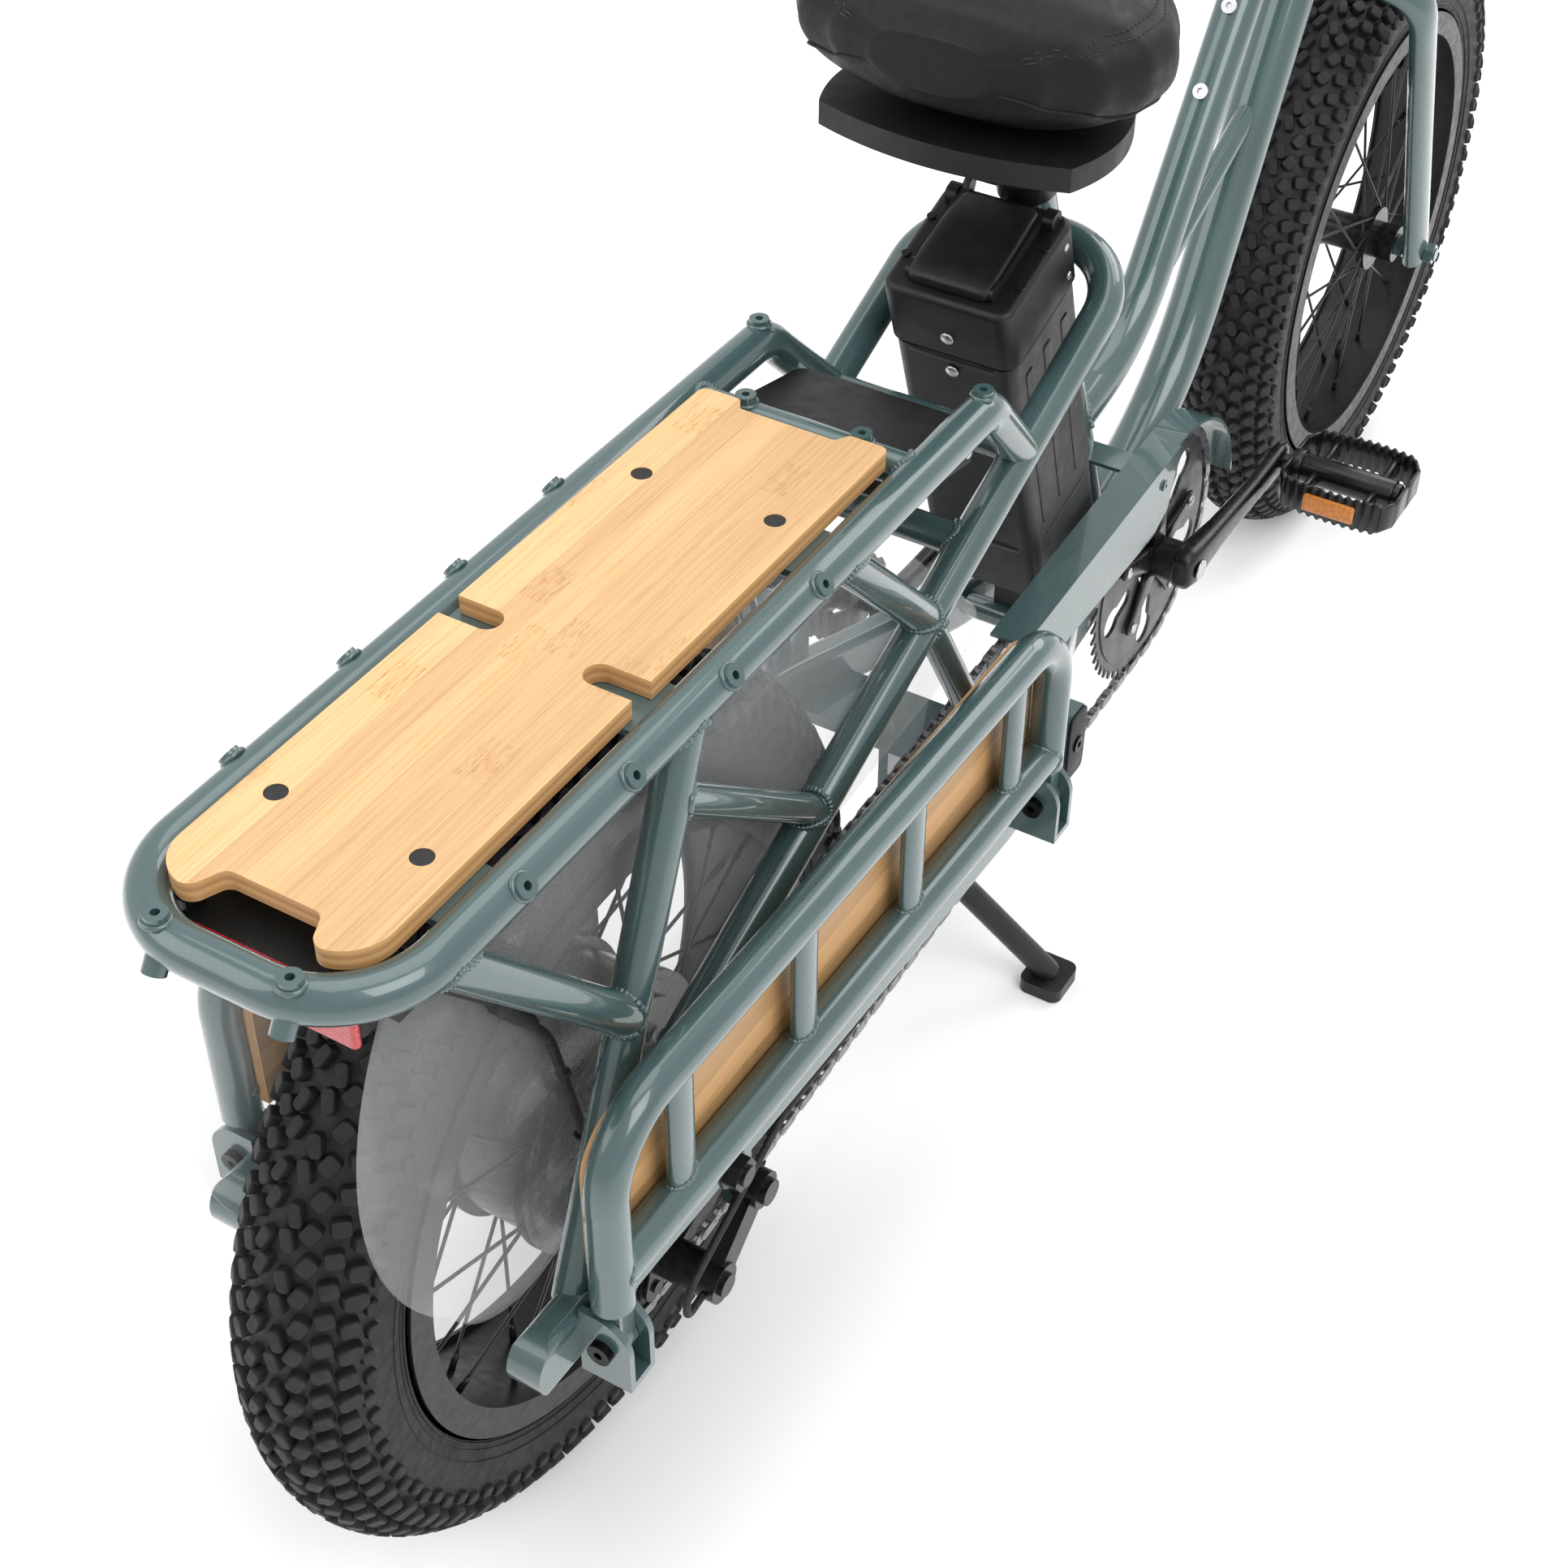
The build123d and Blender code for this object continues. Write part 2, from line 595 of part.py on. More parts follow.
def side_rack():
    """Right folding rack: bent tube, lower rail and oval uprights."""
    rear, front = RACK_LEGS
    points = [
        (rear, -RACK_Y, RACK_LEG_END),
        (rear, -RACK_Y, RACK_TOP_Z[0]),
        (front, -RACK_Y, RACK_TOP_Z[1]),
        (front, -RACK_Y, RACK_LEG_END),
    ]
    rack = swept(points, RACK_BEND, Circle(RACK_TUBE_RADIUS))
    rack += rod((rear, -RACK_Y, RACK_LOW_Z[0]), (front, -RACK_Y, RACK_LOW_Z[1]), RACK_TUBE_RADIUS)
    for x in RACK_BARS:
        share = (x - rear) / (front - rear)
        low = RACK_LOW_Z[0] + share * (RACK_LOW_Z[1] - RACK_LOW_Z[0])
        high = RACK_TOP_Z[0] + share * (RACK_TOP_Z[1] - RACK_TOP_Z[0])
        rack += extrude(Plane(origin=(x, -RACK_Y, low)) * Ellipse(12, 6), high - low)
    half = EAR_GAP / 2 - GAP
    for x in RACK_LEGS:
        rack += block((x - half, -RACK_Y - 9, RACK_PIVOT_Z), (x + half, -RACK_Y + 9, RACK_LEG_END + 8))
        rack += rod((x - half, -RACK_Y, RACK_PIVOT_Z), (x + half, -RACK_Y, RACK_PIVOT_Z), 11.0)
    bolt_line = ((rear - 40, -RACK_Y, RACK_PIVOT_Z), (front + 40, -RACK_Y, RACK_PIVOT_Z))
    return rack - rod(*bolt_line, BOLT_RADIUS + FIT)


def side_panel():
    """Laminated board on the inner side of the right rack."""
    rear, front = RACK_LEGS
    inner = -RACK_Y + RACK_TUBE_RADIUS
    low = RACK_LOW_Z[1] + 4
    board = block((rear + 4, inner, low), (front - 4, inner + PANEL_THICKNESS, RACK_TOP_Z[1] - 4))
    top = [edge for edge in board.edges().filter_by(Axis.Y) if edge.center().Z > low + 20]
    return fillet(top, 32.0)


def hinge_bolts():
    """Shoulder bolts of the side racks, with their nuts."""
    bolts = []
    reach = EAR_GAP / 2 + EAR_THICKNESS
    for x in RACK_LEGS:
        near, far = (x - reach, -RACK_Y, RACK_PIVOT_Z), (x + reach, -RACK_Y, RACK_PIVOT_Z)
        bolt = rod(near, far, BOLT_RADIUS)
        bolt += rod((x - reach - 5, -RACK_Y, RACK_PIVOT_Z), near, 7.5)
        bolt += extrude(Plane(origin=far, z_dir=(1, 0, 0)) * RegularPolygon(7.5, 6), 6)
        recess = Plane(origin=(x - reach - 5, -RACK_Y, RACK_PIVOT_Z), z_dir=(1, 0, 0))
        bolts += both_sides(bolt - extrude(recess * RegularPolygon(3.0, 6), 3))
    return bolts


def screw(point, direction, head=6.5, length=4.0):
    """Button-head screw lying on a surface."""
    top = Vector(*point) + Vector(*direction).normalized() * length
    body = rod(point, tuple(top), head)
    recess = Plane(origin=tuple(top), z_dir=tuple(Vector(*direction) * -1))
    return body - extrude(recess * RegularPolygon(head * 0.45, 6), length * 0.6)


def frame_screws():
    """Hinge bolts and the frame's other visible screws."""
    pieces = hinge_bolts()
    slope = math.radians(54.66)
    back = (-math.sin(slope), 0, math.cos(slope))
    for height in (583.0, 637.0):
        x = 775.0 + (height - 425.0) / math.tan(slope)
        at = (x + back[0] * UPPER_TUBE_RADIUS, 0, height + back[2] * UPPER_TUBE_RADIUS)
        pieces.append(screw(at, back, 6.0, 3.0))
    for side in (-1, 1):
        pieces.append(screw((437.5, side * 130.0, 312.0), (0, side, 0)))
        pieces.append(screw((364.0, side * CONTROLLER_HALF, 577.0), (0, side, 0), 4.5, 3.0))
    return pieces


# ---------------------------------------------------------------- wheels


def tyre():
    """Fat tyre seated in its rim."""
    bead = RIM_BED_RADIUS + 0.3
    half, top = TYRE_HALF_WIDTH, TYRE_RADIUS
    profile = (
        Polyline((-31, 213), (-31, bead), (-37.2, bead), (-37.2, 211.8))
        + ThreePointArc((-37.2, 211.8), (-half, 238), (-37, 268))
        + ThreePointArc((-37, 268), (0, top), (37, 268))
        + ThreePointArc((37, 268), (half, 238), (37.2, 211.8))
        + Polyline((37.2, 211.8), (37.2, bead), (31, bead), (31, 213))
        + ThreePointArc((31, 213), (40, 238), (32, 264))
        + ThreePointArc((32, 264), (0, top - 7), (-32, 264))
        + ThreePointArc((-32, 264), (-40, 238), (-31, 213))
    )
    return revolve(Plane.YZ * make_face(profile), Axis.Y)


def rim(spoke_set):
    """Single-wall rim with a tall flange each side, drilled for its spokes."""
    half, inner, low = RIM_HALF_WIDTH, RIM_HALF_WIDTH - 2.5, RIM_BED_RADIUS - 9
    bed, under = RIM_BED_RADIUS, RIM_BED_RADIUS - 4
    right = [(inner, bed), (inner, RIM_RADIUS), (half, RIM_RADIUS), (half, low), (inner, low), (inner, under)]
    left = [(-y, r) for y, r in reversed(right)]
    body = revolve(Plane.YZ * make_face(Polyline(*right, *left, close=True)), Axis.Y)
    return body - spoke_set


def spokes(flange, lead_deg):
    """Crossed spokes between two flanges and the rim."""
    flange_radius, flange_y = flange
    pieces = []
    for index in range(SPOKE_COUNT):
        side = 1 if index % 2 else -1
        odd = index // 2 % 2
        offset = 1.7 if odd else -1.7
        at_rim = math.radians(360 / SPOKE_COUNT * index)
        at_hub = at_rim + math.radians(lead_deg if odd else -lead_deg)
        hub_r, rim_r = flange_radius - 5, RIM_BED_RADIUS - 1.5
        start = (hub_r * math.cos(at_hub), side * flange_y + offset, hub_r * math.sin(at_hub))
        end = (rim_r * math.cos(at_rim), side * 12.0 + offset, rim_r * math.sin(at_rim))
        pieces.append(rod(start, end, SPOKE_RADIUS))
    return pieces


def brake_disc(low_y):
    """Ventilated brake disc."""
    disc = ring(DISC_RADIUS, 20.0, low_y, low_y + DISC_THICKNESS)
    plane = Plane(origin=(0, low_y, 0), x_dir=(1, 0, 0), z_dir=(0, 1, 0))
    for k in range(6):
        window = plane * Rot(0, 0, 60 * k) * Pos(45, 0) * SlotOverall(34, 16, rotation=75)
        disc -= extrude(window, DISC_THICKNESS)
    return disc


def hub_motor(spoke_set):
    """Motor shell with spoke flanges, freewheel thread, disc carrier and brake disc."""
    bore = REAR_AXLE_RADIUS + FIT
    flange_radius, flange_y = MOTOR_FLANGE
    shell = ring(MOTOR_RADIUS, bore, -MOTOR_HALF + 4, MOTOR_HALF - 4)
    shell += ring(MOTOR_RADIUS - 10, bore, -MOTOR_HALF, MOTOR_HALF)
    for side in (-1, 1):
        low, high = sorted((side * flange_y - FLANGE_THICKNESS / 2, side * flange_y + FLANGE_THICKNESS / 2))
        shell += ring(flange_radius, MOTOR_RADIUS - 4, low, high)
    shell += ring(28.0, bore, MOTOR_HALF, REAR_DISC_Y)
    shell += ring(19.9, bore, REAR_DISC_Y, REAR_DISC_Y + 6)
    shell += ring(16.0, bore, -78.0, -MOTOR_HALF)
    return [shell - spoke_set, brake_disc(REAR_DISC_Y)]


def front_hub(spoke_set):
    """Wide hub with two spoke flanges and its brake disc."""
    bore = FRONT_AXLE_RADIUS + FIT
    radius, flange_y = FRONT_FLANGE
    shell = ring(17.0, bore, -60.0, FRONT_DISC_Y - 4)
    for side in (-1, 1):
        middle = side * flange_y
        shell += ring(radius, bore, middle - FLANGE_THICKNESS / 2, middle + FLANGE_THICKNESS / 2)
    shell += ring(26.0, bore, FRONT_DISC_Y - 6, FRONT_DISC_Y)
    shell += ring(19.9, bore, FRONT_DISC_Y, FRONT_DISC_Y + 5)
    return [shell - spoke_set, brake_disc(FRONT_DISC_Y)]


def rear_axle():
    """Rear axle with its spacers, washers and nuts."""
    outer = CHAINSTAY_Y + CHAINSTAY_WIDTH / 2
    inner = CHAINSTAY_Y - CHAINSTAY_WIDTH / 2
    pieces = [rod((0, -outer - 13, 0), (0, outer + 13, 0), REAR_AXLE_RADIUS)]
    pieces.append(ring(12.0, REAR_AXLE_RADIUS, -inner, -79.0))
    pieces.append(ring(12.0, REAR_AXLE_RADIUS, REAR_DISC_Y + 6.5, inner))
    for low in (-outer - 1.5, outer):
        pieces.append(ring(13.0, REAR_AXLE_RADIUS, low, low + 1.5))
    for low in (-outer - 10.5, outer + 1.5):
        plane = Plane(origin=(0, low, 0), x_dir=(1, 0, 0), z_dir=(0, 1, 0))
        pieces.append(extrude(plane * (RegularPolygon(12.0, 6) - Circle(REAR_AXLE_RADIUS)), 9.0))
    return [Pos(*REAR_AXLE) * piece for piece in pieces]


# ---------------------------------------------------------------- drive train


def chain_radius(teeth):
    """Radius on which the chain's rollers travel round a sprocket."""
    return CHAIN_PITCH * teeth / (2 * math.pi)


def sprocket(teeth, middle_y, bore, phase=0.0, thickness=TOOTH_THICKNESS):
    """Toothed disc about the Y axis; the phase is the angle of one tooth gap in the XZ plane."""
    radius = chain_radius(teeth)
    seat = ROLLER_RADIUS + 0.2
    tip = radius + 3.0
    half_gap = math.pi / teeth - 0.9 / tip
    edges = []
    first = previous = None
    for index in range(teeth):
        angle = phase + 2 * math.pi * index / teeth
        out = (math.cos(angle), math.sin(angle))
        along = (-out[1], out[0])
        low = (radius * out[0] - seat * along[0], radius * out[1] - seat * along[1])
        high = (radius * out[0] + seat * along[0], radius * out[1] + seat * along[1])
        root = ((radius - seat) * out[0], (radius - seat) * out[1])
        tip_low = (tip * math.cos(angle - half_gap), tip * math.sin(angle - half_gap))
        tip_high = (tip * math.cos(angle + half_gap), tip * math.sin(angle + half_gap))
        if previous:
            edges.append(Line(previous, tip_low))
        else:
            first = tip_low
        edges += [Line(tip_low, low), ThreePointArc(low, root, high), Line(high, tip_high)]
        previous = tip_high
    edges.append(Line(previous, first))
    face = make_face(edges) - Circle(bore)
    plane = Plane(origin=(0, middle_y + thickness / 2, 0), x_dir=(1, 0, 0), z_dir=(0, -1, 0))
    return extrude(plane * face, thickness)


def belt_line(circle_a, circle_b):
    """Straight chain run between two circles given as centre, radius and sense of rotation."""
    (ax, az), radius_a, sense_a = circle_a
    (bx, bz), radius_b, sense_b = circle_b
    span = math.hypot(bx - ax, bz - az)
    heading = math.atan2(bz - az, bx - ax) + math.asin((sense_b * radius_b - sense_a * radius_a) / span)
    right = (math.sin(heading), -math.cos(heading))
    start = (ax - sense_a * radius_a * right[0], az - sense_a * radius_a * right[1])
    end = (bx - sense_b * radius_b * right[0], bz - sense_b * radius_b * right[1])
    return start, end


def tension_centre(cage_angle):
    """Centre of the tension pulley for an angle of the cage."""
    return (
        GUIDE_PULLEY[0] + CAGE_LENGTH * math.sin(cage_angle),
        GUIDE_PULLEY[1] - CAGE_LENGTH * math.cos(cage_angle),
    )


def chain_circles(cage_angle):
    """Ring, tension pulley, guide pulley and driven sprocket, in the order the chain meets them."""
    return [
        ((CRANK_CENTRE[0], CRANK_CENTRE[2]), chain_radius(RING_TEETH), 1),
        (tension_centre(cage_angle), chain_radius(PULLEY_TEETH), 1),
        (GUIDE_PULLEY, chain_radius(PULLEY_TEETH), -1),
        ((0.0, AXLE_HEIGHT), chain_radius(DRIVEN_TEETH), 1),
    ]


def chain_runs(cage_angle):
    """Straight runs and arcs of the chain as (kind, length, data)."""
    circles = chain_circles(cage_angle)
    lines = [belt_line(circles[k], circles[(k + 1) % 4]) for k in range(4)]
    runs = []
    for k in range(4):
        start, end = lines[k]
        runs.append(("line", math.dist(start, end), (start, end)))
        (cx, cz), radius, sense = circles[(k + 1) % 4]
        leave = lines[(k + 1) % 4][0]
        angle_in = math.atan2(end[1] - cz, end[0] - cx)
        angle_out = math.atan2(leave[1] - cz, leave[0] - cx)
        turn = (sense * (angle_in - angle_out)) % (2 * math.pi)
        runs.append(("arc", radius * turn, ((cx, cz), radius, sense, angle_in)))
    return runs


def fitted_cage():
    """Cage angle at which the chain is a whole, even number of links long, and that number."""

    def length(angle):
        return sum(run[1] for run in chain_runs(angle))

    nominal = math.radians(CAGE_ANGLE)
    links = 2 * round(length(nominal) / CHAIN_PITCH / 2)
    low, high = nominal - 0.35, nominal + 0.35
    rising = length(high) > length(low)
    for _ in range(50):
        middle = (low + high) / 2
        if (length(middle) < links * CHAIN_PITCH) == rising:
            low = middle
        else:
            high = middle
    return (low + high) / 2, links


CAGE, LINK_COUNT = fitted_cage()
TENSION_PULLEY = tension_centre(CAGE)


def roller_centres():
    """Centre of every chain roller in the XZ plane."""
    points = []
    runs = chain_runs(CAGE)
    for index in range(LINK_COUNT):
        travelled = index * CHAIN_PITCH
        for kind, length, data in runs:
            if travelled <= length + 1e-9:
                break
            travelled -= length
        if kind == "line":
            (ax, az), (bx, bz) = data
            share = travelled / length
            points.append((ax + share * (bx - ax), az + share * (bz - az)))
        else:
            (cx, cz), radius, sense, angle = data
            angle -= sense * travelled / radius
            points.append((cx + radius * math.cos(angle), cz + radius * math.sin(angle)))
    return points


ROLLERS = roller_centres()


def gap_phase(centre, teeth):
    """Angle of a roller that sits in a sprocket's teeth."""
    radius = chain_radius(teeth)
    seated = min(ROLLERS, key=lambda p: abs(math.dist(p, centre) - radius))
    return math.atan2(seated[1] - centre[1], seated[0] - centre[0])


def link_plate(start, end, radius, low_y, high_y):
    """Flat plate with round ends between two points of the XZ plane."""
    span = math.dist(start, end)
    angle = math.degrees(math.atan2(end[1] - start[1], end[0] - start[0]))
    middle = ((start[0] + end[0]) / 2, (start[1] + end[1]) / 2)
    plane = Plane(origin=(0, high_y, 0), x_dir=(1, 0, 0), z_dir=(0, -1, 0))
    slot = Pos(*middle) * SlotCenterToCenter(span, 2 * radius, rotation=angle)
    return extrude(plane * slot, high_y - low_y)


def chain():
    """Roller chain: inner links with their rollers, outer plates with rivet heads."""
    pieces = []
    for index, start in enumerate(ROLLERS):
        end = ROLLERS[(index + 1) % LINK_COUNT]
        if index % 2 == 0:
            link = link_plate(start, end, PLATE_HEIGHT / 2, CHAIN_Y - 2.15, CHAIN_Y - 1.25)
            link += link_plate(start, end, PLATE_HEIGHT / 2, CHAIN_Y + 1.25, CHAIN_Y + 2.15)
            for x, z in (start, end):
                link += across(x, z, ROLLER_RADIUS, CHAIN_Y - 1.5, CHAIN_Y + 1.5)
            pieces.append(link)
        else:
            for side in (-1, 1):
                low, high = sorted((CHAIN_Y + side * 2.2, CHAIN_Y + side * 3.1))
                plate = link_plate(start, end, PLATE_HEIGHT / 2 - 0.2, low, high)
                low, high = sorted((CHAIN_Y + side * 2.2, CHAIN_Y + side * 3.4))
                for x, z in (start, end):
                    plate += across(x, z, 1.6, low, high)
                pieces.append(plate)
    return pieces


def cassette():
    """Seven-sprocket freewheel."""
    lowest = SPROCKETS[0][1] - 1.5
    body = ring(20.0, 16.05, lowest, SPROCKETS[-1][1] + 1.5)
    phase = gap_phase((0.0, AXLE_HEIGHT), DRIVEN_TEETH)
    for teeth, middle_y in SPROCKETS:
        disc = sprocket(teeth, middle_y, 16.05, phase)
        if teeth > DRIVEN_TEETH:
            plane = Plane(origin=(0, middle_y + 1, 0), x_dir=(1, 0, 0), z_dir=(0, -1, 0))
            window_middle = (chain_radius(teeth) + 16) / 2
            for k in range(6):
                window = plane * Rot(0, 0, 60 * k) * Pos(window_middle, 0) * Circle(teeth * 0.26)
                disc -= extrude(window, 2)
        body += disc
    return Pos(*REAR_AXLE) * body


def pulley(centre):
    """Twelve-tooth jockey wheel."""
    phase = gap_phase(centre, PULLEY_TEETH)
    wheel = sprocket(PULLEY_TEETH, CHAIN_Y, 3.05, phase) + ring(13.0, 3.05, CHAIN_Y - 3.6, CHAIN_Y + 3.6)
    return Pos(centre[0], 0, centre[1]) * wheel


def derailleur():
    """Gear arm on its hanger, knuckles, parallelogram and pulley cage."""
    hang, low_knuckle = (32.0, 237.0), (-16.0, 196.0)
    body = across(*hang, 13.0, -122, -104) + across(*hang, 9.0, -126, -121)
    body += across(*hang, 4.0, -105, -92)
    body += link_plate(hang, low_knuckle, 10.0, -119, -107)
    body += across(*low_knuckle, 14.0, -121, -64)
    body += across(*low_knuckle, 8.0, -124, -120)
    body += link_plate(low_knuckle, GUIDE_PULLEY, 9.0, -64.0, -62.2)
    body += link_plate(GUIDE_PULLEY, TENSION_PULLEY, 11.0, -64.0, -62.2)
    inner = link_plate(GUIDE_PULLEY, TENSION_PULLEY, 11.0, -51.8, -50.2)
    pieces = [body, inner]
    for x, z in (GUIDE_PULLEY, TENSION_PULLEY):
        pin = across(x, z, 3.0, -62.2, -51.8)
        pieces.append(pin + across(x, z, 5.0, -62.2, -61.0) + across(x, z, 5.0, -53.0, -51.8))
        pieces.append(across(x, z, 4.5, -66.0, -64.0))
    return pieces


def crankset():
    """Spindle, both crank arms and the chainring bolts' spider."""
    cx, _, cz = CRANK_CENTRE
    turn = math.radians(CRANK_ANGLE)
    tip = (cx + CRANK_LENGTH * math.cos(turn), cz + CRANK_LENGTH * math.sin(turn))
    back = (2 * cx - tip[0], 2 * cz - tip[1])
    pieces = across(cx, cz, 8.5, -88, 88)
    for end, side in ((tip, -1), (back, 1)):
        inner, outer = sorted((side * 84.0, side * 102.0))
        arm = link_plate((cx, cz), end, 14.0, inner, outer)
        arm += across(cx, cz, 18.0, *sorted((side * 64.0, side * 103.0)))
        arm -= across(end[0], end[1], 7.0 + FIT, inner - 2, outer + 2)
        pieces += arm
    spider = across(cx, cz, 24.0, -66.0, -59.5)
    for k in range(5):
        angle = math.radians(72 * k + 18)
        reach = (cx + 62 * math.cos(angle), cz + 62 * math.sin(angle))
        spider += link_plate((cx, cz), reach, 8.0, -63.5, -59.0)
        spider += across(reach[0], reach[1], 6.0, -65.0, -59.0)
    return [pieces + spider]


def chainring():
    """52-tooth ring with drop-shaped openings."""
    cx, _, cz = CRANK_CENTRE
    phase = gap_phase((cx, cz), RING_TEETH)
    disc = sprocket(RING_TEETH, CHAIN_Y, 26.0, phase)
    disc += ring(95.0, 26.0, CHAIN_Y - 2.0, CHAIN_Y + 1.0)
    for k in range(5):
        angle = math.radians(72 * k + 54)
        near = (50 * math.cos(angle), 50 * math.sin(angle))
        far = (76 * math.cos(angle), 76 * math.sin(angle))
        disc -= link_plate(near, far, 8.0, CHAIN_Y - 3, CHAIN_Y + 3)
        disc -= across(far[0], far[1], 13.0, CHAIN_Y - 3, CHAIN_Y + 3)
    return Pos(cx, 0, cz) * disc


def bearing_cups():
    """Headset cups and bottom bracket cups."""
    cups = headset()
    cx, _, cz = CRANK_CENTRE
    for side in (-1, 1):
        low, high = sorted((side * (SHELL_HALF - 22), side * SHELL_HALF))
        cup = across(cx, cz, 18.95, low, high)
        low, high = sorted((side * SHELL_HALF, side * (SHELL_HALF + 5)))
        cup += across(cx, cz, 22.0, low, high)
        cups.append(cup - across(cx, cz, 8.5 + FIT, -90, 90))
    return cups


def pedal(side):
    """Flat pedal with its axle, cage, treads and reflectors."""
    turn = math.radians(CRANK_ANGLE)
    px = CRANK_CENTRE[0] - side * CRANK_LENGTH * math.cos(turn)
    pz = CRANK_CENTRE[2] - side * CRANK_LENGTH * math.sin(turn)
    axle = across(px, pz, 7.0, *sorted((side * 84.5, side * 108.0)))
    body = block((px - 46, 110, pz - 13), (px + 46, 210, pz + 13), 6.0, Axis.Y)
    body -= block((px - 34, 122, pz - 20), (px - 9, 198, pz + 20), 5.0, Axis.Z)
    body -= block((px + 9, 122, pz - 20), (px + 34, 198, pz + 20), 5.0, Axis.Z)
    for k in range(6):
        y = 120 + 16 * k
        for x in (px - 40, px + 40):
            body += block((x - 4, y - 3, pz + 12), (x + 4, y + 3, pz + 16))
            body += block((x - 4, y - 3, pz - 16), (x + 4, y + 3, pz - 12))
    reflectors = [
        block((px - 49, 135, pz - 8), (px - 46, 185, pz + 8)),
        block((px + 46, 135, pz - 8), (px + 49, 185, pz + 8)),
    ]
    pieces = [body, *reflectors]
    if side < 0:
        pieces = [mirror(piece, about=Plane.XZ) for piece in pieces]
    neck = across(px, pz, 9.0, *sorted((side * 103.0, side * 112.0)))
    return [pieces[0] + axle + neck, *pieces[1:]]


def chain_guard():
    """Bent plate over the upper chain run and the front of the chainring."""
    cx, _, cz = CRANK_CENTRE
    inner, outer = 116.0, 118.5

    def on_arc(radius, degrees):
        return (cx + radius * math.cos(math.radians(degrees)), cz + radius * math.sin(math.radians(degrees)))

    top_start, top_end = (458.0, 363.5), on_arc(outer, 97)
    low_start, low_end = (458.0, 361.0), on_arc(inner, 97)
    flange = make_face(
        [
            Line(top_start, top_end),
            ThreePointArc(top_end, on_arc(outer, 50), on_arc(outer, 10)),
            Line(on_arc(outer, 10), on_arc(inner, 10)),
            ThreePointArc(on_arc(inner, 10), on_arc(inner, 50), low_end),
            Line(low_end, low_start),
            Line(low_start, top_start),
        ]
    )
    plane = Plane(origin=(0, -49, 0), x_dir=(1, 0, 0), z_dir=(0, -1, 0))
    guard = extrude(plane * flange, 26.0)
    side = make_face(
        Polyline(top_start, (top_end[0], top_end[1]), (708, 332), (684, 320), (458, 317), close=True)
    )
    outer_plane = Plane(origin=(0, -75, 0), x_dir=(1, 0, 0), z_dir=(0, -1, 0))
    guard += extrude(outer_plane * side, 2.0)
    seat = rod(seat_axis(270.0), seat_axis(SEAT_TUBE_TOP), SEAT_TUBE_RADIUS)
    tab = block((672, -50, 376), (698, -8, 379)) - seat
    tab = max(tab.solids(), key=lambda solid: solid.volume)
    rivet = screw((694, -77, 362), (0, -1, 0), 4.5, 2.0)
    return [guard + tab, rivet]


# ---------------------------------------------------------------- battery

LEAN_UP = (-math.cos(BATTERY_LEAN), 0, math.sin(BATTERY_LEAN))
BATTERY = Plane(
    origin=(BATTERY_CORNER[0], 0, BATTERY_CORNER[1]),
    x_dir=(math.sin(BATTERY_LEAN), 0, math.cos(BATTERY_LEAN)),
    z_dir=LEAN_UP,
)


def battery_block(low, high, round_edges=0.0, axis=Axis.Z):
    """Box in the battery's own frame."""
    return BATTERY.location * block(low, high, round_edges, axis)


def battery_case():
    """Case with a recessed groove round it and ribs at its foot."""
    half = BATTERY_HALF_WIDTH
    case = block((1, -half, -BATTERY_LENGTH), (BATTERY_DEPTH - 1, half, -LID_DEEP - 3), 10.0, Axis.Z)
    case += block((4, -half + 3, -LID_DEEP - 3), (BATTERY_DEPTH - 4, half - 3, -LID_DEEP), 8.0, Axis.Z)
    return BATTERY.location * case


def battery_lid():
    """Lid with the lock, the hinge lugs of the handle and its screws."""
    half = LID_HALF_WIDTH
    lid = block((0, -half, -LID_DEEP), (BATTERY_DEPTH, half, 0), 11.0, Axis.Z)
    lid = fillet(lid.faces().sort_by(Axis.Z)[-1].edges(), 5.0)
    lid -= block((14, -30, -7), (BATTERY_DEPTH - 22, 30, 1), 4.0, Axis.Z)
    for side in (-1, 1):
        lug = block((BATTERY_DEPTH - 19, side * 36 - 4, -5), (BATTERY_DEPTH - 5, side * 36 + 4, 10))
        lug = fillet(lug.edges().filter_by(Axis.Y).sort_by(Axis.Z)[-2:], 5.0)
        lid += lug
        lid -= Pos(BATTERY_DEPTH - 12, side * 36, 4) * Rot(90, 0, 0) * Cylinder(3, 10)
    lock = Pos(40, half + 1.5, -28) * Rot(90, 0, 0) * Cylinder(9, 3)
    screws = [Pos(x, side * (half - 5), 0.75) * Cylinder(3, 1.5) for x in (30, 66) for side in (-1, 1)]
    return [BATTERY.location * piece for piece in (lid, lock, *screws)]


def battery_handle():
    """Fold-up carrying handle lying on the lid."""
    front = BATTERY_DEPTH - 12
    handle = Pos(front, 0, 4) * Rot(90, 0, 0) * Cylinder(2.95, 79)
    for side in (-1, 1):
        handle += block((12, side * 28 - 4, 0.8), (front + 4, side * 28 + 4, 8.5), 2.0, Axis.Y)
    handle += block((10, -32, 0.8), (24, 32, 10), 4.0, Axis.Y)
    return BATTERY.location * handle


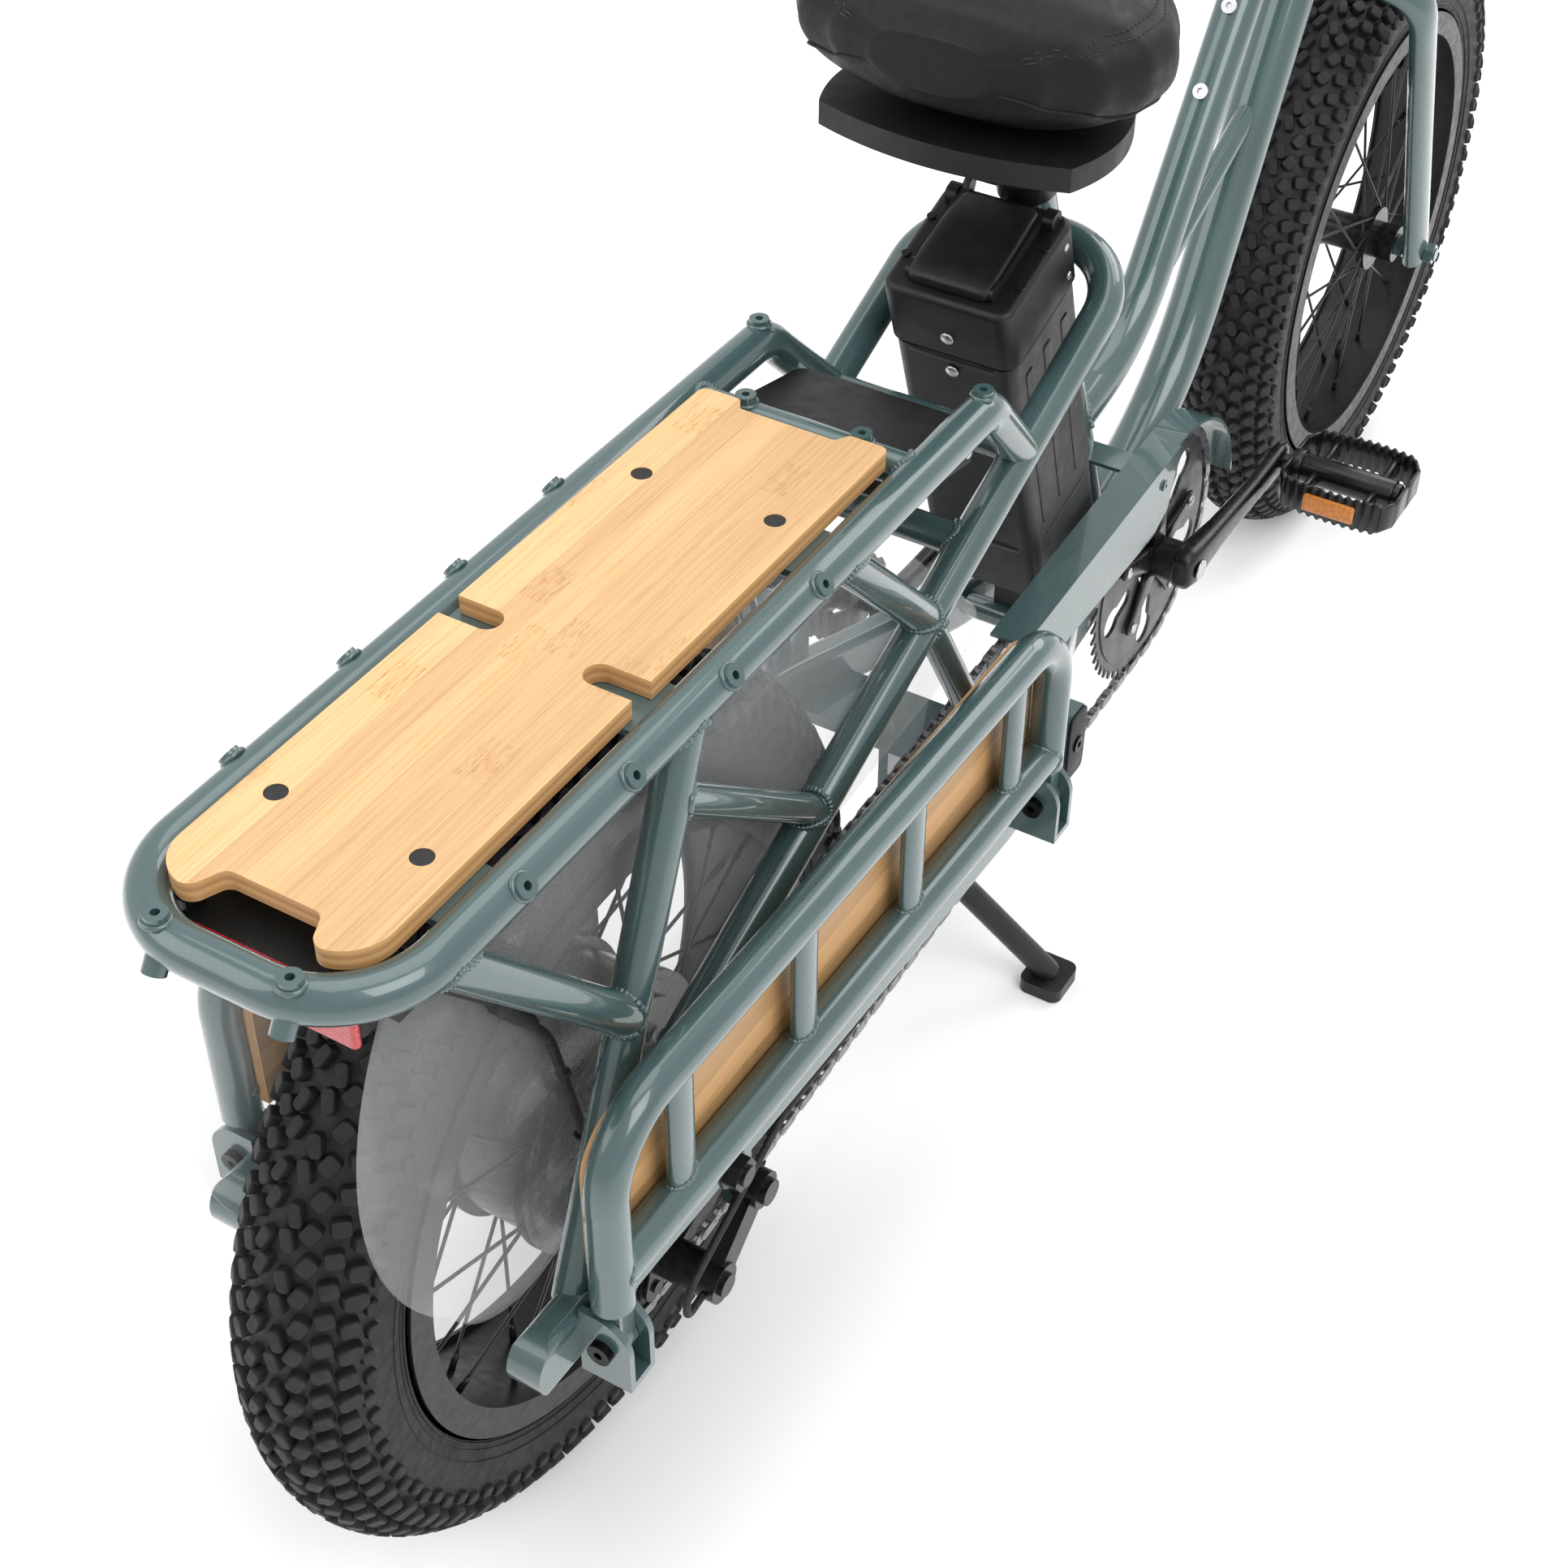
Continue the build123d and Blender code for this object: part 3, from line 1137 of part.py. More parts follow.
def battery_dock():
    """Front rail and foot tray that hold the battery."""
    seat = rod(seat_axis(270.0), seat_axis(SEAT_TUBE_TOP), SEAT_TUBE_RADIUS)
    loop = swept(*seat_stays_outside(), Circle(STAY_RADIUS))
    rail = block((BATTERY_DEPTH + GAP, -22, -BATTERY_LENGTH - 3), (BATTERY_DEPTH + 4, 22, -70))
    for low in (-110, -200, -280):
        rail += block((BATTERY_DEPTH + 3, -12, low), (BATTERY_DEPTH + 50, 12, low + 26))
    tray = block((4, -42, -BATTERY_LENGTH - 9), (BATTERY_DEPTH + 4, 42, -BATTERY_LENGTH - GAP), 8.0, Axis.Z)
    dock = BATTERY.location * (rail + tray)
    dock += block((596, -14, 276), (616, 14, 350))
    dock = dock - seat - loop - across(596.0, 268.0, 10.0, -60, 60)
    return max(dock.solids(), key=lambda solid: solid.volume)


# ---------------------------------------------------------------- saddle


def seat_clamp():
    """Split collar at the top of the seat tube, with the lever's two lugs."""
    low, high = seat_axis(SEAT_TUBE_TOP - 9), seat_axis(SEAT_TUBE_TOP + 7)
    collar = rod(low, high, 22.0) - rod(low, seat_axis(SEAT_TUBE_TOP), SEAT_TUBE_RADIUS)
    collar -= rod(low, high, SEAT_POST_RADIUS + FIT)
    x, _, z = seat_axis(SEAT_TUBE_TOP)
    for step in (-11, 11):
        lug = block((x + step - 4, 15, z - 7), (x + step + 4, 36, z + 7))
        lug -= rod(seat_axis(630.0), high, SEAT_TUBE_RADIUS + 1)
        collar += lug
    return collar - rod((x - 20, 30, z), (x + 20, 30, z), 3.0)


def clamp_lever():
    """Cam lever that hangs beside the seat tube."""
    x, _, z = seat_axis(SEAT_TUBE_TOP)
    lever = rod((x - 15.5, 30, z), (x + 15.5, 30, z), 2.95)
    lever += rod((x - 6.5, 30, z), (x + 6.5, 30, z), 7.0)
    lever += swept([(x, 33, z - 2), (x - 1, 41, z - 14), (x - 2, 44, z - 35)], 12.0, Rectangle(5, 12))
    return lever


def seat_post():
    """Seat post and the clamp that grips the saddle's rails."""
    post = rod(seat_axis(430.0), seat_axis(SEAT_POST_TOP), SEAT_POST_RADIUS)
    x, _, z = seat_axis(SEAT_POST_TOP)
    head = block((x - 24, -17, z - 4), (x + 24, 17, z + 16), 6.0, Axis.Y)
    return post + head


def saddle_base():
    """Plastic pan with the round boss that hides the clamp."""
    x, _, z = seat_axis(SEAT_POST_TOP)
    low = SADDLE_LOW - SADDLE_PAN
    outline = make_face(
        [
            ThreePointArc((440, -88), (424, 0), (440, 88)),
            Spline((440, 88), (520, 92), (600, 52), (676, 22)),
            ThreePointArc((676, 22), (688, 0), (676, -22)),
            Spline((676, -22), (600, -52), (520, -92), (440, -88)),
        ]
    )
    pan = extrude(Plane(origin=(0, 0, low)) * outline, SADDLE_PAN)
    boss_piece = Pos(x + 8, 0, low - 10) * Cylinder(44, 20)
    hollow = block((x - 24.5, -17.5, 680), (x + 24.5, 17.5, z + 16.3))
    return pan + boss_piece - hollow - rod(seat_axis(640.0), seat_axis(720.0), SEAT_POST_RADIUS + 1)


SADDLE_SECTIONS = (
    # x, half width, low, high
    (SADDLE_REAR + 4, 62.0, SADDLE_LOW + 24, 814.0),
    (SADDLE_REAR + 40, 116.0, SADDLE_LOW + 4, 837.0),
    (SADDLE_REAR + 90, 123.0, SADDLE_LOW, 839.0),
    (SADDLE_REAR + 150, 92.0, SADDLE_LOW, 832.0),
    (SADDLE_REAR + 215, 52.0, SADDLE_LOW + 2, 826.0),
    (SADDLE_REAR + 262, 38.0, SADDLE_LOW + 8, 822.0),
    (SADDLE_NOSE - 3, 18.0, SADDLE_LOW + 24, 805.0),
)


def saddle():
    """Broad padded saddle."""
    sections = []
    for x, half, low, high in SADDLE_SECTIONS:
        plane = Plane(origin=(x, 0, (low + high) / 2), x_dir=(0, 1, 0), z_dir=(1, 0, 0))
        radius = min(half, (high - low) / 2) * 0.8
        sections.append(plane * RectangleRounded(2 * half, high - low, radius))
    return loft(sections)


# ---------------------------------------------------------------- stand


def stand_legs():
    """Two splayed legs on one cross tube, with foot pads."""
    px, _, pz = STAND_PIVOT
    fx, fy, _ = STAND_FOOT
    cross = across(px, pz, 13.0, -13.5, 13.5) + across(px, pz, 4.95, -26, 26)
    legs = cross
    for side in (-1, 1):
        yoke = across(px, pz, 13.0, *sorted((side * 22.5, side * 44.0)))
        path = [(px, side * 36, pz), (px + 14, side * 38, 112), (fx, side * fy, 12)]
        legs += yoke
        legs += swept(path, 30.0, Circle(STAND_TUBE_RADIUS))
    pads = []
    for side in (-1, 1):
        pad = block((fx - 20, side * fy - 18, 0), (fx + 20, side * fy + 18, 12), 8.0, Axis.Z)
        pads.append(pad - legs)
    return [legs - block((fx - 60, -200, -20), (fx + 60, 200, 2)), *pads]


# ---------------------------------------------------------------- front end


def steer(piece):
    """Place a piece drawn in the steering frame."""
    return STEER.location * piece


def fork():
    """Steerer, crown, two blades and the front axle."""
    body = rod((0, 0, CROWN - 14), (0, 0, STEERER_TOP), STEERER_RADIUS)
    body += rod((0, 0, CROWN), (0, 0, HEAD_TUBE_LOW - 9.3), 20.0)
    for side in (-1, 1):
        path = [(50, side * BLADE_Y, -6), (34, side * BLADE_Y, 316), (2, 0, CROWN + 2)]
        blade = swept(path, 58.0, Ellipse(18, 10.5), x_dir=(1, 0, 0))
        body += blade
    body -= rod((50, -120, 0), (50, 120, 0), FRONT_AXLE_RADIUS)
    outer = BLADE_Y + 10.5
    axle = rod((50, -outer - 10, 0), (50, outer + 10, 0), FRONT_AXLE_RADIUS)
    nuts = []
    for low in (-outer - 8, outer):
        plane = Plane(origin=(50, low, 0), x_dir=(1, 0, 0), z_dir=(0, 1, 0))
        nuts.append(extrude(plane * (RegularPolygon(10.0, 6) - Circle(FRONT_AXLE_RADIUS)), 8.0))
    spacers = []
    for low, high in ((-67.5, -60.5), (FRONT_DISC_Y + 5.5, 67.5)):
        spacer = Pos(50, 0, 0) * ring(10.0, FRONT_AXLE_RADIUS, low, high)
        spacers.append(spacer)
    return [steer(piece) for piece in (body, axle, *nuts, *spacers)]


def stem():
    """Riser stem clamped on the steerer."""
    low, top = HEAD_TUBE_HIGH + 9.3, STEERER_TOP + 4
    spacer = rod((0, 0, low), (0, 0, low + 24), 19.0, STEERER_RADIUS)
    body = rod((0, 0, low + 24), (0, 0, top), 21.0)
    body += rod((4, 0, top - 22), BAR_CLAMP, 15.0)
    body += rod((BAR_CLAMP[0], -26, BAR_CLAMP[2]), (BAR_CLAMP[0], 26, BAR_CLAMP[2]), 19.0)
    body -= rod((0, 0, low), (0, 0, STEERER_TOP), STEERER_RADIUS)
    body -= rod((BAR_CLAMP[0], -40, BAR_CLAMP[2]), (BAR_CLAMP[0], 40, BAR_CLAMP[2]), BAR_RADIUS)
    return [steer(body), steer(spacer)]


CLAMP_AT = steer_point(*BAR_CLAMP)
BAR_POINTS = [
    (965.0, -345.0, 1032.0),
    (1036.0, -150.0, 1024.0),
    (CLAMP_AT[0], -58.0, CLAMP_AT[2]),
    (CLAMP_AT[0], 58.0, CLAMP_AT[2]),
    (1036.0, 150.0, 1024.0),
    (965.0, 345.0, 1032.0),
]
BAR_BENDS = (60.0, 45.0, 45.0, 60.0)


def along_grip(distance):
    """Point on the right end of the handlebar, measured from its tip."""
    end, inner = Vector(*BAR_POINTS[0]), Vector(*BAR_POINTS[1])
    return tuple(end + (inner - end).normalized() * distance)


def grips():
    """Flanged rubber grips."""
    grip = rod(along_grip(0), along_grip(GRIP_LENGTH), GRIP_RADIUS)
    grip += rod(along_grip(0), along_grip(5), GRIP_RADIUS + 2)
    grip += rod(along_grip(GRIP_LENGTH - 4), along_grip(GRIP_LENGTH), GRIP_RADIUS + 3)
    grip -= rod(along_grip(-1), along_grip(GRIP_LENGTH + 1), BAR_RADIUS)
    return both_sides(grip)


LEVER_PIVOT_AT = 152.0
GRIP_PLANE = Plane(
    origin=along_grip(LEVER_PIVOT_AT),
    x_dir=tuple((Vector(*BAR_POINTS[0]) - Vector(*BAR_POINTS[1])).normalized()),
    z_dir=(0.04, 0.0, 1.0),
)
# In the grip's plane X runs to the tip and -Y is ahead of the bar.
LEVER_PIVOT = (0.0, 32.0)


def lever_mount():
    """Clamp and pivot housing of a brake lever."""
    mount = rod(along_grip(LEVER_PIVOT_AT - 10), along_grip(LEVER_PIVOT_AT + 10), 17.0)
    housing = GRIP_PLANE.location * block((-14, 8, -9), (10, 24, 9), 4.0, Axis.Z)
    yoke = GRIP_PLANE.location * (
        block((-12, 20, 4.4), (8, 40, 8)) + block((-12, 20, -8), (8, 40, -4.4))
    )
    reservoir = GRIP_PLANE.location * block((-50, 12, -10), (-13, 30, 10), 6.0, Axis.X)
    mount += housing + yoke + reservoir
    mount -= GRIP_PLANE.location * Pos(*LEVER_PIVOT, 0) * Cylinder(3.0, 40)
    return mount - rod(along_grip(100), along_grip(210), BAR_RADIUS)


def brake_lever():
    """Brake blade with its pivot pin."""
    blade = GRIP_PLANE.location * (
        Pos(*LEVER_PIVOT, 0) * Cylinder(2.95, 16) + Pos(*LEVER_PIVOT, 0) * Cylinder(7.0, 8)
    )
    points = [(0, 32, 0), (34, 50, 0), (132, 52, 0)]
    world = [tuple(GRIP_PLANE.from_local_coords(p)) for p in points]
    return blade + swept(world, 45.0, Circle(4.2))


def shift_mount():
    """Thumb-shifter pod on the right of the bar."""
    pod = rod(along_grip(165), along_grip(181), 17.0)
    lower = GRIP_PLANE.location * (Pos(-21, -4, -26) * Cylinder(15, 16))
    stalk = GRIP_PLANE.location * block((-28, -8, -22), (-15, 4, -12))
    pod += lower + stalk
    pod -= rod(along_grip(160), along_grip(186), BAR_RADIUS)
    return pod - GRIP_PLANE.location * (Pos(-21, -4, -32) * Cylinder(3.0, 30))


def shift_lever():
    """Thumb lever below the shifter pod."""
    lever = Pos(-21, -4, -36) * Cylinder(2.95, 20) + Pos(-21, -4, -38.5) * Cylinder(10, 8)
    lever += block((-28, -40, -42), (-14, -8, -36), 3.0, Axis.Z)
    return GRIP_PLANE.location * lever


def display():
    """Small display on the middle of the bar."""
    x, _, z = CLAMP_AT
    box = block((x - 42, -31, z + 20), (x + 26, 31, z + 32), 6.0, Axis.Z)
    for side in (-1, 1):
        leg = block((x - 6, side * 32 - 5, z - 4), (x + 6, side * 32 + 5, z + 22))
        box += leg + across(x, z, BAR_RADIUS + 3, *sorted((side * 27.0, side * 37.0)))
    return box - across(x, z, BAR_RADIUS, -50, 50)


def headlight():
    """Round lamp in front of the stem on a flat bracket."""
    low = steer_point(48, 0, HEAD_TUBE_HIGH + 18)
    x, _, z = low
    lamp = rod((x + 6, 0, z), (x + 46, 0, z), 24.0)
    bracket = rod(steer_point(18, 0, HEAD_TUBE_HIGH + 38), (x + 8, 0, z + 6), 6.0)
    bracket -= rod(steer_point(0, 0, 500), steer_point(0, 0, 700), 21.0)
    return [lamp + bracket, rod((x + 46, 0, z), (x + 50, 0, z), 21.0)]


def caliper(y_low, disc_y, x_low, z_low, bracket):
    """Brake caliper round a disc's edge, with its mounting block."""
    body = block((x_low, y_low, z_low), (x_low + 40, y_low + 26, z_low + 40), 8.0, Axis.Y)
    body += bracket
    low = (x_low - 40, disc_y - 0.8, z_low - 60)
    high = (x_low + 60, disc_y + DISC_THICKNESS + 0.8, z_low + 34)
    slot = block(low, high)
    return body - slot


def front_caliper():
    """Caliper on the left fork blade."""
    bracket = block((8, 62, 46), (40, 72, 84), 4.0, Axis.Y)
    body = caliper(42.0, FRONT_DISC_Y, -12.0, 44.0, bracket)
    blade_path = [(50, BLADE_Y, -6), (34, BLADE_Y, 316), (2, 0, CROWN + 2)]
    blade = swept(blade_path, 58.0, Ellipse(18, 10.5), x_dir=(1, 0, 0))
    rest = body - blade
    return steer(max(rest.solids(), key=lambda solid: solid.volume))


def rear_caliper():
    """Caliper on the left chainstay."""
    bracket = block((54, 58, 318), (88, 96, 330), 0) + block((54, 84, 296), (88, 95, 330), 0)
    body = caliper(38.0, REAR_DISC_Y, 50.0, 318.0, bracket)
    return max(body.solids(), key=lambda solid: solid.volume)


def hose(points, radii, radius=2.5):
    """Round cable or hose along its route."""
    return swept(points, radii, Circle(radius))


def front_hoses():
    """Brake hoses from the levers' reservoirs to the stem."""
    column = rod(steer_point(0, 0, HEAD_TUBE_HIGH), steer_point(0, 0, STEERER_TOP), 21.0)
    right = GRIP_PLANE.from_local_coords((-51, 21, 0))
    pieces = []
    for side, depth in ((-1, 40.0), (1, 46.0)):
        start = (right.X, -side * right.Y, right.Z)
        route = [
            start,
            (start[0] + 46, side * 92, start[2] + 4),
            (CLAMP_AT[0] + depth, side * 40, 960),
            (CLAMP_AT[0] + 14, side * 34, 900),
            steer_point(10, side * 17, HEAD_TUBE_HIGH + 44),
        ]
        pieces.append(hose(route, [30.0, 30.0, 30.0]) - column)
    mounts = both_sides(lever_mount())
    return [piece - mounts[0] - mounts[1] for piece in pieces]


# ---------------------------------------------------------------- cables


def rear_cables():
    """Motor cable, gear cable and rear brake hose."""
    motor_route = [
        (-186, -64, 601.5),
        (-176, -64, 572),
        (-140, -66.5, 530),
        (-100, -66.5, 468),
        (-84, -67, 400),
        (-78, -74, 340),
        (-68, -91, 304),
    ]
    motor = hose(motor_route, [20.0, 50.0, 60.0, 50.0, 30.0], 3.0)
    gear_route = [(400, -106, 256), (70, -112, 267), (-52, -118, 226), (-52, -116, 198), (-30.6, -114, 196)]
    gear = hose(gear_route, [60.0, 14.0, 10.0])
    brake_route = [(400, 106, 256), (170, 104, 262), (120, 84, 268), (104, 64, 300), (104, 50, 338), (90.6, 50, 340)]
    brake = hose(brake_route, [60.0, 20.0, 20.0, 8.0])
    return [motor, gear, brake]


# ---------------------------------------------------------------- output


def main():
    """Build every node and write it."""
    os.makedirs("parts", exist_ok=True)
    write("main_frame", *main_frame())
    write("bearing_cups", *bearing_cups())
    write("seat_clamp", seat_clamp())
    write("clamp_lever", clamp_lever())
    write("seat_stays", *seat_stay_parts())
    write("chainstays", *chainstay_parts())
    write("fold_brackets", *fold_brackets())
    write("rack_frame", rack_frame())
    write("rack_struts", *rack_struts())
    write("deck_board", deck_board())
    write("deck_plugs", *deck_plugs())
    write("controller_box", controller_cover())
    lamp, lens = tail_light()
    write("tail_light_housing", lamp)
    write("tail_light_lens", lens)
    write("wheel_guards", *both_sides(wheel_guard()))
    write("battery_dock", battery_dock())
    write("battery_case", battery_case())
    write("battery_lid", *battery_lid())
    write("battery_handle", battery_handle())
    write("frame_screws", *frame_screws())
    write("rear_axle", *rear_axle())

    rear_spokes = spokes(MOTOR_FLANGE, 12.0)
    at_rear = Pos(*REAR_AXLE)
    write("rear_tyre", at_rear * tyre())
    write("rear_rim", at_rear * rim(rear_spokes))
    write("rear_spokes", *[at_rear * spoke for spoke in rear_spokes])
    write("hub_motor", *[at_rear * piece for piece in hub_motor(rear_spokes)])
    front_spokes = spokes(FRONT_FLANGE, 60.0)
    at_front = Pos(*FRONT_AXLE)
    write("front_tyre", at_front * tyre())
    write("front_rim", at_front * rim(front_spokes))
    write("front_spokes", *[at_front * spoke for spoke in front_spokes])
    write("front_hub", *[at_front * piece for piece in front_hub(front_spokes)])

    write("cassette", cassette())
    write("guide_pulley", pulley(GUIDE_PULLEY))
    write("tension_pulley", pulley(TENSION_PULLEY))
    write("derailleur", *derailleur())
    write("chain", *chain())
    write("crankset", *crankset())
    write("chainring", chainring())
    write("pedal_right", *pedal(-1))
    write("pedal_left", *pedal(1))
    write("chain_guard", *chain_guard())

    write("seat_post", seat_post())
    write("saddle_base", saddle_base())
    write("saddle", saddle())
    write("stand_legs", *stand_legs())
    for name, piece in (("side_rack", side_rack()), ("side_panel", side_panel())):
        right, left = both_sides(piece)
        write(f"{name}_right", right)
        write(f"{name}_left", left)

    write("fork", *fork())
    write("stem", *stem())
    write("handlebar", swept(BAR_POINTS, BAR_BENDS, Circle(BAR_RADIUS)))
    write("grips", *grips())
    write("bar_controls", *both_sides(lever_mount()), shift_mount(), display())
    right, left = both_sides(brake_lever())
    write("brake_lever_right", right)
    write("brake_lever_left", left)
    write("shift_lever", shift_lever())
    write("headlight", *headlight())
    write("front_brake_caliper", front_caliper())
    write("rear_brake_caliper", rear_caliper())
    write("front_hoses", *front_hoses())
    write("rear_cables", *rear_cables())


main()
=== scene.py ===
"""Long-tail cargo bicycle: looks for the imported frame. Metres, +X forward, +Y left, +Z up."""

import math

import bmesh
import bpy
from mathutils import Matrix, Vector


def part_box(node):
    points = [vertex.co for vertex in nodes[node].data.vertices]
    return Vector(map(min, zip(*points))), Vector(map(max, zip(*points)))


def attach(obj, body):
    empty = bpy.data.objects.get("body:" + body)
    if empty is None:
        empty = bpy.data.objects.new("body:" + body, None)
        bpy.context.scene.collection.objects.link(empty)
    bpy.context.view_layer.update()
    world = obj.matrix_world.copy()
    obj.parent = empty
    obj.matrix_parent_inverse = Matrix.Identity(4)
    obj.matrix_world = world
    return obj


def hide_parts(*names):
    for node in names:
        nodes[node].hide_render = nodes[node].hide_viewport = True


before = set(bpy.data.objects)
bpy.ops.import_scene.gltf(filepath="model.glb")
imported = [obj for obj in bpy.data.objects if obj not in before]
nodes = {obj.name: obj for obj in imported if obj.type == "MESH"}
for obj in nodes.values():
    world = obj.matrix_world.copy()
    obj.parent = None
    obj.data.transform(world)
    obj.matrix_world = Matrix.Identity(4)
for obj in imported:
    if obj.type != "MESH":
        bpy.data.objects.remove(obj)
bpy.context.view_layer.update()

# ---------------------------------------------------------------- camera


def add_camera():
    """Camera at the photograph's angle."""
    yaw, pitch, roll = math.radians(30.846), math.radians(41.319), math.radians(0.333)
    ahead = Vector((math.cos(pitch) * math.cos(yaw), math.cos(pitch) * math.sin(yaw), -math.sin(pitch)))
    right = Vector((math.sin(yaw), -math.cos(yaw), 0))
    up = right.cross(ahead)
    right_turned = math.cos(roll) * right + math.sin(roll) * up
    up_turned = -math.sin(roll) * right + math.cos(roll) * up
    data = bpy.data.cameras.new("camera")
    data.lens = 56.27
    data.sensor_width = 36.0
    data.clip_start = 0.05
    camera = bpy.data.objects.new("camera", data)
    bpy.context.scene.collection.objects.link(camera)
    turn = Matrix((right_turned, up_turned, -ahead)).transposed()
    camera.matrix_world = Matrix.Translation((-1.44356, -0.63192, 1.43388)) @ turn.to_4x4()
    bpy.context.scene.camera = camera


add_camera()

# ---------------------------------------------------------------- materials


class Mat:
    """Small helper that builds one node material."""

    def __init__(self, name):
        self.material = bpy.data.materials.new(name)
        self.material.use_nodes = True
        self.tree = self.material.node_tree
        self.shader = self.tree.nodes["Principled BSDF"]
        coords = self.tree.nodes.new("ShaderNodeTexCoord")
        self.position = coords.outputs["Object"]

    def node(self, kind, **inputs):
        made = self.tree.nodes.new(kind)
        for key, value in inputs.items():
            if key in ("operation", "blend_type", "data_type", "distance", "feature", "noise_dimensions"):
                setattr(made, key, value)
        for key, value in inputs.items():
            if key in ("operation", "blend_type", "data_type", "distance", "feature", "noise_dimensions"):
                continue
            index = int(key[1:]) if key[0] == "_" else key.replace("_", " ")
            socket = made.inputs[index]
            if isinstance(value, bpy.types.NodeSocket):
                self.tree.links.new(value, socket)
            else:
                socket.default_value = value
        return made

    def value(self, **values):
        """Constant values set straight on the shader's sockets."""
        for key, value in values.items():
            self.shader.inputs[key.replace("_", " ")].default_value = value

    def math(self, operation, first, second=0.0, third=0.0):
        made = self.node("ShaderNodeMath", operation=operation, _0=first, _1=second)
        if operation in ("MULTIPLY_ADD", "WRAP", "SMOOTH_MIN"):
            self.node_set(made, 2, third)
        return made.outputs[0]

    def node_set(self, made, index, value):
        if isinstance(value, bpy.types.NodeSocket):
            self.tree.links.new(value, made.inputs[index])
        else:
            made.inputs[index].default_value = value

    def stretched(self, scale):
        """Position scaled along each axis."""
        made = self.node("ShaderNodeVectorMath", operation="MULTIPLY", _0=self.position, _1=scale)
        return made.outputs[0]

    def noise(self, scale, detail=3.0, roughness=0.5, vector=None, distortion=0.0):
        made = self.node(
            "ShaderNodeTexNoise",
            Vector=vector or self.position,
            Scale=scale,
            Detail=detail,
            Roughness=roughness,
            Distortion=distortion,
        )
        return made.outputs["Fac"]

    def ramp(self, factor, *stops):
        made = self.tree.nodes.new("ShaderNodeValToRGB")
        self.tree.links.new(factor, made.inputs[0])
        elements = made.color_ramp.elements
        while len(elements) < len(stops):
            elements.new(0.5)
        for element, (place, colour) in zip(elements, stops):
            element.position = place
            element.color = (*colour, 1.0) if len(colour) == 3 else colour
        return made.outputs["Color"]

    def levels(self, factor, low_in, high_in, low, high):
        made = self.node(
            "ShaderNodeMapRange", _0=factor, _1=low_in, _2=high_in, _3=low, _4=high
        )
        return made.outputs[0]

    def mix(self, factor, first, second, blend="MIX"):
        made = self.tree.nodes.new("ShaderNodeMix")
        made.data_type = "RGBA"
        made.blend_type = blend
        for index, value in ((0, factor), (6, first), (7, second)):
            if isinstance(value, tuple) and len(value) == 3:
                value = (*value, 1.0)
            self.node_set(made, index, value)
        return made.outputs[2]

    def bump(self, height, strength, distance):
        made = self.node("ShaderNodeBump", Strength=strength, Distance=distance, Height=height)
        self.tree.links.new(made.outputs[0], self.shader.inputs["Normal"])

    def into(self, socket, output):
        self.tree.links.new(output, self.shader.inputs[socket])


def frame_paint():
    """Gloss grey-teal enamel with a clear coat."""
    m = Mat("frame_paint")
    cloud = m.noise(9.0, 2.0)
    m.into("Base Color", m.ramp(cloud, (0.35, (0.043, 0.084, 0.086)), (0.65, (0.051, 0.096, 0.098))))
    grain = m.noise(420.0, 2.0)
    m.into("Roughness", m.levels(grain, 0.3, 0.7, 0.26, 0.36))
    m.bump(m.noise(180.0, 1.0), 0.012, 0.001)
    m.value(Metallic=0.10, Coat_Weight=1.0, Coat_Roughness=0.04, IOR=1.5)
    return m.material


def black_metal(name="black_metal", rough=0.38, tone=0.007):
    """Satin black coating with fine texture and faint rubbed edges."""
    m = Mat(name)
    cloud = m.noise(30.0, 4.0)
    dark, light = (tone * 0.8,) * 3, (tone * 1.7,) * 3
    base = m.ramp(cloud, (0.3, dark), (0.7, light))
    point = m.node("ShaderNodeNewGeometry").outputs["Pointiness"]
    edge = m.levels(point, 0.54, 0.62, 0.0, 0.35)
    m.into("Base Color", m.mix(edge, base, (tone * 4.5,) * 3))
    m.into("Roughness", m.levels(m.noise(160.0, 3.0), 0.3, 0.7, rough - 0.07, rough + 0.09))
    m.bump(m.noise(900.0, 2.0), 0.06, 0.0005)
    m.value(Metallic=0.25, Specular_IOR_Level=0.5)
    return m.material


def bare_steel(name, tone, rough):
    """Machined steel with faint brushing and stains."""
    m = Mat(name)
    brush = m.noise(90.0, 4.0, vector=m.stretched((3.0, 1.0, 14.0)))
    m.into("Base Color", m.ramp(brush, (0.3, (tone * 0.75,) * 3), (0.7, (tone, tone, tone * 1.03))))
    m.into("Roughness", m.levels(m.noise(60.0, 4.0), 0.3, 0.7, rough - 0.08, rough + 0.12))
    m.bump(brush, 0.05, 0.0004)
    m.value(Metallic=0.95)
    return m.material


def plastic(name="plastic", tone=0.006, rough=0.5, grain=1300.0):
    """Moulded black plastic with a fine spark-eroded texture."""
    m = Mat(name)
    cloud = m.noise(14.0, 4.0)
    m.into("Base Color", m.ramp(cloud, (0.3, (tone * 0.85,) * 3), (0.7, (tone * 1.5,) * 3)))
    cells = m.node("ShaderNodeTexVoronoi", Vector=m.position, Scale=grain).outputs["Distance"]
    m.into("Roughness", m.levels(m.noise(70.0, 3.0), 0.3, 0.7, rough - 0.06, rough + 0.08))
    m.bump(cells, 0.10, 0.0004)
    m.value(Specular_IOR_Level=0.4)
    return m.material


